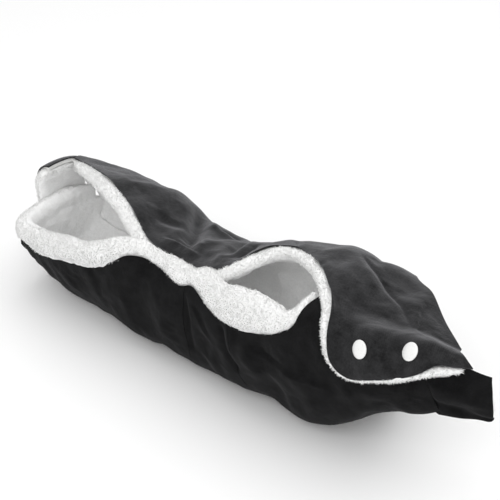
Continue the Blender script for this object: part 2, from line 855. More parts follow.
@dataclass
class Tufting:
    """Sets small tufts of pile on a plush surface by a geometry node group."""

    density: float = 620000
    length: float = 0.0016
    width: float = 0.00042
    lean: float = 0.6
    sizes: Pair = (0.6, 1.25)

    def group(self, name: str, seed: int) -> bpy.types.GeometryNodeTree:
        """Build the node group that scatters, leans and joins the tufts."""
        tree = bpy.data.node_groups.new(name, "GeometryNodeTree")
        for way in ("INPUT", "OUTPUT"):
            tree.interface.new_socket(name="Geometry", in_out=way, socket_type="NodeSocketGeometry")
        nodes = {label: tree.nodes.new(kind) for label, kind in (
            ("given", "NodeGroupInput"), ("result", "NodeGroupOutput"),
            ("spread", "GeometryNodeDistributePointsOnFaces"), ("bare", "GeometryNodeInputNamedAttribute"),
            ("share", "ShaderNodeMath"), ("tuft", "GeometryNodeMeshCone"),
            ("lean", "FunctionNodeRandomValue"), ("turn", "FunctionNodeEulerToRotation"),
            ("both", "FunctionNodeRotateRotation"), ("size", "FunctionNodeRandomValue"),
            ("sow", "GeometryNodeInstanceOnPoints"), ("real", "GeometryNodeRealizeInstances"),
            ("join", "GeometryNodeJoinGeometry"), ("smooth", "GeometryNodeSetShadeSmooth"),
            ("skin", "GeometryNodeSetMaterial"))}
        nodes["bare"].data_type = "FLOAT"
        nodes["share"].operation = "MULTIPLY"
        nodes["lean"].data_type = "FLOAT_VECTOR"
        nodes["both"].rotation_space = "LOCAL"
        for label, entry, value in (
                ("bare", "Name", "bare"), ("share", 1, self.density), ("spread", "Seed", seed),
                ("tuft", "Vertices", 3), ("tuft", "Radius Top", 0), ("tuft", "Radius Bottom", self.width),
                ("tuft", "Depth", self.length), ("lean", 0, (-self.lean, -self.lean, 0)),
                ("lean", 1, (self.lean, self.lean, 2 * math.pi)), ("lean", "Seed", seed + 1),
                ("size", 2, self.sizes[0]), ("size", 3, self.sizes[1]), ("size", "Seed", seed + 2),
                ("skin", "Material", bpy.data.materials["white_plush"])):
            nodes[label].inputs[entry].default_value = value
        for start, output, end, entry in (
                ("bare", "Attribute", "share", 0), ("share", 0, "spread", "Density"),
                ("given", 0, "spread", "Mesh"), ("spread", "Points", "sow", "Points"),
                ("tuft", "Mesh", "sow", "Instance"), ("lean", 0, "turn", 0),
                ("spread", "Rotation", "both", 0), ("turn", 0, "both", 1), ("both", 0, "sow", "Rotation"),
                ("size", 1, "sow", "Scale"), ("sow", 0, "real", 0), ("real", 0, "skin", "Geometry"),
                ("skin", 0, "smooth", "Geometry"), ("smooth", 0, "join", 0), ("given", 0, "join", 0),
                ("join", 0, "result", 0)):
            tree.links.new(nodes[start].outputs[output], nodes[end].inputs[entry])
        return tree

    def apply(self, thing: Thing, seed: int) -> None:
        """Set the tufts on a piece and make them part of its mesh."""
        modifier = thing.modifiers.new("tufts", "NODES")
        modifier.node_group = self.group(f"{thing.name}_tufts", seed)
        MeshShop.apply(thing)


def ruffle(shape: Shape, height: float, size: float, seed: float) -> None:
    """Raise clumps of pile over a shape along its normals.

    Args:
        shape: The shape to ruffle, with its normals up to date.
        height: How far the clumps stand out.
        size: The clumps' size.
        seed: A shift that makes each piece's clumps its own.
    """
    moved = []
    shift = Vector((seed, seed * 0.7, seed * 1.3))
    for vertex in shape.verts:
        spot = vertex.co / size + shift
        fine, slow = noise.noise(spot * 2.3), noise.noise(spot * 0.35)
        rise = noise.noise(spot) * 0.6 + fine * 0.45 + slow * 0.7
        moved.append(vertex.co + vertex.normal * (rise * height))
    for vertex, point in zip(shape.verts, moved):
        vertex.co = point


UPPER_FOLDS = (
    Fold(((-0.349, 42), (-0.241, 75), (-0.158, 105), (-0.106, 119)), -0.0068, 0.0080),
    Fold(((-0.300, 42), (-0.195, 72), (-0.120, 100), (-0.075, 116)), 0.0034, 0.0070),
    Fold(((-0.400, 44), (-0.290, 77), (-0.205, 106)), 0.0026, 0.0090),
    Fold(((-0.241, 70), (-0.185, 62), (-0.100, 64)), 0.0034, 0.0060),
    Fold(((-0.225, 64), (-0.170, 55), (-0.090, 56)), -0.0034, 0.0060),
    Fold(((-0.260, 114), (-0.173, 111), (-0.060, 115)), 0.0040, 0.0050, FoldKind.PLEAT),
    Fold(((-0.220, 104), (-0.150, 101), (-0.080, 104)), 0.0026, 0.0040, FoldKind.PLEAT),
    Fold(((-0.12, 112), (-0.09, 92), (-0.06, 66)), 0.0030, 0.0090),
    Fold(((0.030, 112), (0.009, 91), (-0.034, 67)), -0.0056, 0.0060),
    Fold(((0.056, 112), (0.040, 91), (0.002, 67)), 0.0028, 0.0070),
    Fold(((0.078, 116), (0.085, 106), (0.090, 84)), 0.0030, 0.0050, FoldKind.CREASE),
    Fold(((-0.37, 100), (-0.29, 92), (-0.22, 84)), -0.0026, 0.0070),
    Fold(((0.166, 66), (0.205, 75), (0.238, 84)), 0.0018, 0.0050, FoldKind.CREASE),
    Fold(((0.373, 100), (0.404, 102)), 0.0012, 0.0060, FoldKind.CREASE),
    Fold(((-0.62, 60), (-0.52, 74), (-0.46, 88)), 0.0016, 0.0110),
    Fold(((-0.80, 52), (-0.72, 62), (-0.62, 80)), -0.0016, 0.0100),
    Fold(((0.712, 74), (0.728, 92), (0.77, 112), (0.822, 122)), 0.0018, 0.0050, FoldKind.PLEAT),
    Fold(((0.52, 104), (0.60, 84), (0.70, 60)), -0.0022, 0.0120),
    Fold(((0.15, 74), (0.28, 78), (0.44, 82)), 0.0030, 0.0200),
    Fold(((0.429, 68), (0.546, 81), (0.676, 95), (0.779, 117)), 0.0022, 0.0050, FoldKind.CREASE, 0.2),
    Fold(((0.395, 70), (0.512, 84), (0.640, 100)), 0.0018, 0.0080),
)
FLAP_FOLDS = (
    Fold(((0.779, 117), (0.833, 125), (0.883, 132)), 0.0014, 0.0040, FoldKind.CREASE),
    Fold(((0.532, 128), (0.546, 125)), 0.0012, 0.0070, FoldKind.CREASE),
    Fold(((0.70, 112), (0.74, 126), (0.735, 142)), -0.0010, 0.0090),
)
FRONT_FOLDS = (
    Fold(((0.134, 164), (0.155, 172), (0.173, 184), (0.231, 201)), 0.0030, 0.0045, FoldKind.CREASE, 0.15),
    Fold(((-0.03, 149), (-0.007, 170), (-0.005, 205)), 0.0024, 0.0040, FoldKind.CREASE, 0.15),
    Fold(((0.006, 156), (0.054, 170), (0.099, 184)), 0.0020, 0.0060, FoldKind.PLEAT),
    Fold(((0.211, 170), (0.276, 188), (0.339, 208)), 0.0034, 0.0090),
    Fold(((0.263, 172), (0.339, 175), (0.427, 183)), -0.0024, 0.0075),
    Fold(((0.204, 172), (0.359, 178), (0.496, 181), (0.624, 183)), 0.0026, 0.0070, FoldKind.PLEAT),
    Fold(((0.26, 196), (0.40, 204), (0.52, 206)), -0.0026, 0.0110),
    Fold(((-0.524, 171), (-0.481, 172), (-0.459, 179)), 0.0020, 0.0060, FoldKind.CREASE),
    Fold(((-0.598, 201), (-0.477, 185), (-0.385, 174)), -0.0022, 0.0120),
    Fold(((-0.776, 194), (-0.659, 199), (-0.513, 210)), 0.0022, 0.0110),
    Fold(((-0.30, 160), (-0.22, 178), (-0.18, 205)), -0.0018, 0.0120),
    Fold(((0.55, 180), (0.70, 186), (0.84, 188)), 0.0014, 0.0100),
)


@dataclass
class Billow:
    """How the cloth swells and buckles over its wadding, found by a cloth simulation.

    A sheet round the whole wrap is held at the seams, at the openings' edges, at the
    snaps and where the muff rests. It grows a little and buckles between them. What it
    moved along the wrap's own directions is kept as a lift that every panel reads.
    """

    form: WrapForm
    columns: int = 130
    rows: int = 170
    places: Pair = (-0.93, 0.99)
    angles: Pair = (-37.0, 322.0)
    growth: float = 0.010
    pressure: float = 0.6
    frames: int = 24
    cap: float = 0.0036
    held: float = 0.003
    free: float = 0.012
    line_points: int = 160
    edge_angle: float = 4
    resting_height: float = 0.004
    opening_end: float = 0.48
    lifts: Array | None = None

    def held_share(self, x: Array, angle: Array) -> Array:
        """Give how firmly each point is held, from 0 to 1."""
        form = self.form
        arc = form.arc(angle)
        nearest = np.full(x.shape, np.inf)
        run = np.linspace(0, 1, self.line_points)
        lines = [read_edge(table, run) for table in (form.arch, form.rim, form.hem)]
        for table in (form.centre_seam, form.right_seam, form.right_end, form.upper_left_end,
                      form.upper_right_end, (form.upper_right_end[0], form.hem[-1])):
            rows = np.array(table, float)
            at = run * (len(rows) - 1)
            knots = np.arange(len(rows))
            lines.append((np.interp(at, knots, rows[:, 0]), np.interp(at, knots, rows[:, 1])))
        for place, turn in lines:
            for line_x, line_arc in zip(place * form.half_length, form.arc(turn)):
                nearest = np.minimum(nearest, np.hypot(x - line_x, arc - line_arc))
        share = 1 - ease(self.held, self.free, nearest)
        for place, turn, *_ in Relief.calm_spots:
            away = np.hypot(x - place * form.half_length, arc - form.arc(np.float64(turn)))
            share = np.maximum(share, 1 - ease(self.held, self.free * 2, away))
        arch = np.array(form.arch)
        rim = np.array(form.rim)
        place = x / form.half_length
        top = np.interp(place, np.maximum.accumulate(arch[:, 0]), arch[:, 1])
        bottom = np.interp(place, rim[:, 0], rim[:, 1])
        opening = (angle > top) & (angle < bottom) & (place < self.opening_end)
        resting = form.bare(x, angle)[:, 2] < self.resting_height
        edge = (angle < self.angles[0] + self.edge_angle) | (angle > self.angles[1] - self.edge_angle)
        return np.where(opening | resting | edge, 1.0, share)

    def settle(self, folds: tuple[Fold, ...], shop: MeshShop, material: Material) -> None:
        """Run the simulation and keep the lifts.

        Args:
            folds: The folds that the sheet starts from.
            shop: What turns the sheet's grid into an object.
            material: The sheet's material.
        """
        form = self.form
        shape, u, v = shop.grid(self.columns - 1, self.rows - 1)
        x = (self.places[0] + (self.places[1] - self.places[0]) * u) * form.half_length
        angle = self.angles[0] + (self.angles[1] - self.angles[0]) * v
        normals = form.normal(x, angle)
        start = form.bare(x, angle) + normals * Relief(form, folds).lift(x, angle)[:, None]
        shop.lay(shape, start)
        sheet = shop.finish(shape, "billow_sheet", material)
        pins = sheet.vertex_groups.new(name="held")
        for index, share in enumerate(self.held_share(x, angle)):
            if share > 0:
                pins.add([index], float(share), "REPLACE")
        cloth = sheet.modifiers.new("cloth", "CLOTH")
        for label, value in {
                "quality": 5, "mass": 0.2, "tension_stiffness": 15, "compression_stiffness": 15,
                "shear_stiffness": 4, "bending_stiffness": 0.12, "shrink_min": -self.growth,
                "shrink_max": -self.growth, "use_pressure": True, "uniform_pressure_force": self.pressure,
                "vertex_group_mass": pins.name}.items():
            setattr(cloth.settings, label, value)
        cloth.settings.effector_weights.gravity = 0
        cloth.collision_settings.use_collision = False
        cloth.point_cache.frame_start = 1
        cloth.point_cache.frame_end = self.frames
        for number in range(1, self.frames + 1):
            bpy.context.scene.frame_set(number)
        settled = sheet.evaluated_get(bpy.context.evaluated_depsgraph_get())
        moved = np.empty(len(settled.data.vertices) * 3)
        settled.data.vertices.foreach_get("co", moved)
        lifts = np.sum((moved.reshape(-1, 3) - start) * normals, -1)
        lifts = self.cap * np.tanh(lifts / self.cap)
        order = np.lexsort((np.round(u * (self.columns - 1)), np.round(v * (self.rows - 1))))
        self.lifts = lifts[order].reshape(self.rows, self.columns)
        bpy.context.scene.frame_set(1)
        discard(sheet)
        LOG.info("billow: lifts from %.4f to %.4f m", self.lifts.min(), self.lifts.max())

    def lift(self, x: Array, angle: Array) -> Array:
        """Read the kept lift smoothly at places along and angles round the wrap."""
        if self.lifts is None:
            return np.zeros(x.shape)
        across = (x / self.form.half_length - self.places[0]) / (self.places[1] - self.places[0])
        across = across * (self.columns - 1)
        up = (angle - self.angles[0]) / (self.angles[1] - self.angles[0]) * (self.rows - 1)
        total = np.zeros(x.shape)
        column = np.floor(across).astype(int)
        row = np.floor(up).astype(int)
        for down, row_weight in enumerate(self.weights(up - row)):
            at_row = np.clip(row + down - 1, 0, self.rows - 1)
            for aside, weight in enumerate(self.weights(across - column)):
                at_column = np.clip(column + aside - 1, 0, self.columns - 1)
                total += row_weight * weight * self.lifts[at_row, at_column]
        return total

    @staticmethod
    def weights(share: Array) -> tuple[Array, ...]:
        """Give the smooth weights of four neighbours."""
        back = 1 - share
        return (back ** 3 / 6, (3 * share ** 3 - 6 * share ** 2 + 4) / 6,
                (3 * back ** 3 - 6 * back ** 2 + 4) / 6, share ** 3 / 6)


@dataclass(frozen=True)
class Relief:
    """What folds, slow waves and the simulated billow add to the smooth wrap on one panel.

    A calm spot lies round a snap's cap: its place along the wrap and its angle, and how
    steeply the cloth tilts there along the wrap and droops round it.
    """

    form: WrapForm
    folds: tuple[Fold, ...]
    waves: Waves = Waves()
    billow: Billow | None = None
    calm_spots: Table = ((0.682, 143.5, 0.38, 0.30), (0.815, 135.2, 0.60, 0.50))
    calm_radii: Pair = (0.0072, 0.0192)
    tilt_radius: float = 0.014
    hollow_share: float = 0.6

    def lift(self, x: Array, angle: Array, hidden: bool = False) -> Array:
        """Give the lift at places along and angles round the wrap.

        Args:
            x: Places along the muff.
            angle: Angles round it.
            hidden: Whether the layer lies under the cloth and keeps clear of its hollows.

        Returns:
            The lift in metres.
        """
        arc = self.form.arc(angle)
        total = self.waves.lift(x, arc)
        if self.billow is not None:
            total = total + self.billow.lift(x, angle)
        for fold in self.folds:
            total = total + fold.lift(x, arc, self.form.half_length, self.form.radius)
        for place, turn, *_ in self.calm_spots:
            away = np.hypot(x - place * self.form.half_length, arc - self.form.arc(np.float64(turn)))
            total = total * ease(*self.calm_radii, away)
        for place, turn, tilt, droop in self.calm_spots:
            run = x - place * self.form.half_length
            below = arc - self.form.arc(np.float64(turn))
            away = np.hypot(run, below)
            total = total + (tilt * run - droop * below) * np.exp(-(away / self.tilt_radius) ** 2)
        if hidden:
            total = total + self.hollow_share * np.minimum(total, 0)
        return total


@dataclass
class Panel:
    """One padded panel: where its shares lie on the wrap and how its layers follow it.

    The spot turns two shares into a place along the wrap and an angle round it.
    """

    form: WrapForm
    spot: Callable[[Array, Array], Spots]
    place: Place
    relief: Relief
    cover_depth: float = 0.0016

    def points(self, u: Array, v: Array, depth: float | Array) -> Array:
        """Give the panel's points at a depth."""
        x, angle = self.spot(u, v)
        hidden = bool(np.max(depth) > self.cover_depth)
        points = self.place(x, angle, depth)
        points = points + self.form.normal(x, angle) * self.relief.lift(x, angle, hidden)[:, None]
        points[:, 2] = np.maximum(points[:, 2], np.asarray(depth) * 0.5)
        return points

    def cloth(self, u: Array, v: Array) -> Array:
        """Give the lengths of cloth at shares of the panel."""
        x, angle = self.spot(u, v)
        return np.stack([x, self.form.arc(angle)], -1)


@dataclass(frozen=True)
class Layers:
    """The thickness of each layer of a padded panel, from the outside in."""

    shell: float = 0.0014
    wadding: float = 0.0036
    plush: float = 0.0036
    gap: float = 0.0003
    pile: float = 0.0022

    @property
    def total(self) -> float:
        """The whole thickness of a panel."""
        return self.shell + self.wadding + self.plush + self.gap * 2

    @property
    def wadding_top(self) -> float:
        """How deep the wadding starts."""
        return self.shell + self.gap

    @property
    def plush_top(self) -> float:
        """How deep the plush starts."""
        return self.wadding_top + self.wadding + self.gap


@dataclass
class Workshop:
    """What every part of the muff is made with."""

    form: WrapForm = field(default_factory=WrapForm)
    layers: Layers = field(default_factory=Layers)
    shop: MeshShop = field(default_factory=MeshShop)
    wardrobe: Wardrobe = field(default_factory=Wardrobe)
    tufting: Tufting = field(default_factory=Tufting)
    plain_cloth: float = 0.06
    wadding_sink: float = 0.0006
    lining_clumps: Pair = (0.0013, 0.0075)

    def __post_init__(self) -> None:
        """Let the cloth settle, unless the look is a quick one."""
        self.billow = Billow(self.form)
        self.billow.settle(UPPER_FOLDS + FLAP_FOLDS + FRONT_FOLDS, self.shop, self.wardrobe.upper_cloth)

    def keep(self, shape: Shape, name: str, material: Material, body: Body | None,
             slot: Slot | None, nodes: Sequence[str], fill: Fill | None = None) -> Thing:
        """Finish a piece, hang it on its body and say which frame nodes it stands for.

        Args:
            shape: The piece's finished shape.
            name: The piece's name.
            material: Its material.
            body: The body it rides on, or None for a piece that is blended between two.
            slot: The record's slot of its finish, if any.
            nodes: The frame's nodes that it replaces.
            fill: How full it is padded, or None for a piece that isn't padded.

        Returns:
            The finished piece.
        """
        piece = self.shop.finish(shape, name, material)
        if body is not None:
            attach(piece, body.value)
        if nodes:
            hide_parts(*nodes)
        LOG.info("%s: %d faces", name, len(piece.data.polygons))
        return piece

    def layer(self, points_at: Callable[[Array, Array, float], Array], size: Size,
              top: float | Array, bottom: float | Callable, cloth_at: Callable | None = None,
              leave_out: Callable[[float, float], bool] | None = None) -> Shape:
        """Make one closed layer between two depths.

        Args:
            points_at: Gives points for two shares and a depth.
            size: Faces along both directions.
            top: The depth of the outer side.
            bottom: The depth of the inner side, or what gives it for the shares.
            cloth_at: Gives lengths of cloth for the shares.
            leave_out: Says which faces are left out, by the shares at their middles.

        Returns:
            The closed layer.
        """
        shape, u, v = self.shop.grid(*size)
        bmesh.ops.create_grid(shape, x_segments=size[0], y_segments=size[1], size=0.5)
        depth = bottom(u, v) if callable(bottom) else bottom
        points = np.concatenate([points_at(u, v, top), points_at(u, v, depth)])
        cloth = cloth_at(u, v) if cloth_at else np.stack([u, v], -1) * self.plain_cloth
        if leave_out is not None:
            half = Vector((0.5, 0.5, 0))
            gone = [face for face in shape.faces if leave_out(*(face.calc_center_median() + half)[:2])]
            bmesh.ops.delete(shape, geom=gone, context="FACES_ONLY")
        self.shop.lay(shape, points, np.concatenate([cloth, cloth]))
        rims = [edge for edge in shape.edges if edge.is_boundary]
        bmesh.ops.bridge_loops(shape, edges=rims)
        loose = [vertex for vertex in shape.verts if not vertex.link_faces]
        bmesh.ops.delete(shape, geom=loose, context="VERTS")
        self.shop.outward(shape)
        return shape

    def panel_layer(self, panel: Panel, size: Size, top: float | Array, bottom: float | Callable,
                    leave_out: Callable | None = None) -> Shape:
        """Make one closed layer of a panel."""
        return self.layer(panel.points, size, top, bottom, panel.cloth, leave_out)

    def wadding(self, panel: Panel, prefix: str, size: Size, body: Body) -> None:
        """Make a panel's wadding."""
        layers = self.layers
        shape = self.panel_layer(panel, (size[0] // 2, size[1] // 2), layers.wadding_top + self.wadding_sink,
                                 layers.wadding_top + layers.wadding)
        self.keep(shape, f"{prefix}_wadding_fill", self.wardrobe.loose, body, None, [f"{prefix}_wadding"],
                  Fill.WADDING)

    def lining(self, panel: Panel, size: Size, pile: Callable | None = None) -> Shape:
        """Shape a panel's plush lining, deeper where the pile says so."""
        bottom = self.layers.plush_top + self.layers.plush

        def deep(u: Array, v: Array) -> Array:
            x, _ = panel.spot(u, v)
            return bottom + (pile(x / self.form.half_length, v) if pile else 0) * np.ones(x.shape)

        return self.panel_layer(panel, size, self.layers.plush_top, deep)

    def hidden_layers(self, panel: Panel, prefix: str, size: Size, body: Body, seed: float) -> None:
        """Make a panel's wadding and a plush lining of its own."""
        self.wadding(panel, prefix, size, body)
        lining = self.lining(panel, size)
        ruffle(lining, self.lining_clumps[0], self.lining_clumps[1], seed)
        self.keep(lining, f"{prefix}_plush_lining", self.wardrobe.plush, body, Slot.PLUSH,
                  [f"{prefix}_lining"], Fill.LINING)


@dataclass
class UpperHalf:
    """The upper panel from the back seam over the top to the arches, and the right flap."""

    work: Workshop
    arch_share: float = 25 / 34
    left_span: float = 0.35
    right_span: float = 0.55
    pull_power: float = 1.5
    cover_size: Size = (272, 130)
    strip_rows: int = 26
    flap_rows: int = 64
    lining_size: Size = (150, 72)
    flap_lining_size: Size = (90, 48)
    rim_pile: float = 0.0045
    rim_rise: Pair = (0.80, 1)
    pile_stop: Pair = (0.30, 0.40)
    inner_start: float = 0.03
    inner_span: float = 0.94
    inner_taper: float = 0.11
    inner_drop: float = 0.93
    end_pull: float = 0.0055
    seam_step: float = 0.53
    lining_share: float = 0.985
    turn_step: float = 8
    turn_start: float = 0.011
    turn_end: float = 0.005
    lining_left_end: Table = ((-0.914, 67), (-0.922, 52), (-0.928, 36), (-0.928, 14),
                              (-0.904, -12), (-0.886, -38))

    def edge(self, u: Array) -> Spots:
        """Give the front edge: the arches and then the flap's fold."""
        form = self.work.form
        start = np.array([form.fold_front_x])
        table = (*form.arch[:-1], (form.fold_front_x / form.half_length, float(form.fold_angle(start)[0])))
        place, angle = read_edge(table, np.minimum(u / self.arch_share, 1))
        run = np.clip((u - self.arch_share) / (1 - self.arch_share), 0, 1.1)
        fold_x = form.fold_front_x + (form.fold_end_x - form.fold_front_x) * run
        on_fold = u > self.arch_share
        return (np.where(on_fold, fold_x, place * form.half_length),
                np.where(on_fold, form.fold_angle(fold_x), angle))

    def end_place(self, table: Table, angle: Array) -> Array:
        """Give the places of an end edge at some angles."""
        rows = np.array(sorted(table, key=lambda row: row[1]), float)
        return smooth_read(rows[:, 1], rows[:, 0], angle) * self.work.form.half_length

    def spot_with(self, left_table: Table, shown: float) -> Callable:
        """Give the upper panel's spots for a left end and the shown share of its run to the edge."""
        form = self.work.form
        seam = form.seam_angle - 360 + self.seam_step
        ends_x, ends_angle = self.edge(np.array([0.0, 1.0]))

        def spot(u: Array, v: Array) -> Spots:
            v = v * shown
            edge_x, edge_angle = self.edge(u)
            left = self.end_place(left_table, seam + (ends_angle[0] - seam) * v)
            right = self.end_place(form.upper_right_end, seam + (ends_angle[1] - seam) * v)
            share = (edge_x - ends_x[0]) / (ends_x[1] - ends_x[0])
            left_pull = np.maximum(0, 1 - share / self.left_span) ** self.pull_power
            right_pull = np.maximum(0, 1 - (1 - share) / self.right_span) ** self.pull_power
            x = edge_x + (left - ends_x[0]) * left_pull + (right - ends_x[1]) * right_pull
            return x, seam + (edge_angle - seam) * v
        return spot

    def flap_spot(self, u: Array, v: Array) -> Spots:
        """Give the right flap's places and angles."""
        form = self.work.form
        hem_place, hem_angle = read_edge(form.hem, u)
        fold_x = form.fold_front_x + (form.fold_end_x - form.fold_front_x) * u
        top = form.fold_angle(fold_x)
        x = fold_x + (hem_place * form.half_length - fold_x) * v
        pull = self.end_pull * ease(0.8, 1, u) * np.sin(math.pi * np.clip(v, 0, 1))
        return x - pull, top + (hem_angle - top) * v

    def flap_inner_spot(self, u: Array, v: Array) -> Spots:
        """Give the spots of the flap's inner layers, drawn in from its edges."""
        span = self.inner_span - self.inner_taper * v * v
        return self.flap_spot(self.inner_start + span * u, v * self.inner_drop)

    def cover_spot(self, u: Array, v: Array) -> Spots:
        """Give the spots of the flap's cover, which starts behind the fold."""
        rows = self.strip_rows + self.flap_rows
        strip = self.strip_rows / rows
        reach = self.strip_rows / self.cover_size[1]
        upper = self.spot_with(self.work.form.upper_left_end, 1)
        behind = upper(self.arch_share + (1 - self.arch_share) * u, 1 - reach * (1 - v / strip))
        ahead = self.flap_spot(u, (v - strip) / (1 - strip))
        return tuple(np.where(v < strip, first, second) for first, second in zip(behind, ahead))

    def pile(self, place: Array, v: Array) -> Array:
        """Give how much deeper the lining is: most along the arches, not at all at the right."""
        deeper = self.work.layers.pile + self.rim_pile * ease(*self.rim_rise, v)
        return deeper * (1 - ease(*self.pile_stop, place))

    def blend_line(self) -> tuple[tuple[float, ...], tuple[float, ...]]:
        """Give where the flap's cover starts and ends to turn with the flap."""
        form = self.work.form
        ends = np.array([form.fold_front_x, form.fold_end_x])
        first, last = form.bare(ends, form.fold_angle(ends))
        middle_x = np.array([(form.fold_front_x + form.fold_end_x) / 2])
        turn = form.fold_angle(middle_x)
        middle = form.bare(middle_x, turn)[0]
        way = form.bare(middle_x, turn + self.turn_step)[0] - form.bare(middle_x, turn - self.turn_step)[0]
        way = square_to(way, unit(last - first))
        return tuple(middle - way * self.turn_start), tuple(middle + way * self.turn_end)

    def build(self) -> Shape:
        """Make every piece of the upper half but its lining, which is handed on."""
        work = self.work
        form = work.form
        relief = Relief(form, UPPER_FOLDS + FLAP_FOLDS, Waves(), work.billow)
        upper = Panel(form, self.spot_with(form.upper_left_end, 1), form.upper, relief)
        reach = 1 - self.strip_rows / self.cover_size[1]
        cover = work.panel_layer(upper, self.cover_size, 0, work.layers.shell,
                                 lambda u, v: u > self.arch_share and v > reach)
        work.keep(cover, "upper_cover", work.wardrobe.upper_cloth, Body.WRAP, Slot.CLOTH, ["upper_shell"],
                  Fill.WADDING)
        inner = Panel(form, self.spot_with(self.lining_left_end, self.lining_share), form.upper, relief)
        work.wadding(inner, "upper", self.lining_size, Body.WRAP)
        lining = work.lining(inner, self.lining_size, self.pile)
        columns = round(self.cover_size[0] * (1 - self.arch_share))
        whole = Panel(form, self.cover_spot, form.flap, relief)
        cover = work.panel_layer(whole, (columns, self.strip_rows + self.flap_rows), 0, work.layers.shell)
        piece = work.keep(cover, "right_flap_cover", work.wardrobe.upper_cloth, None, Slot.CLOTH,
                          ["right_flap_shell"], Fill.COVER)
        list(self.blend_line())
        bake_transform(piece)
        flap = Panel(form, self.flap_inner_spot, form.flap, relief)
        work.hidden_layers(flap, "right_flap", self.flap_lining_size, Body.RIGHT_FLAP, 7.7)
        return lining


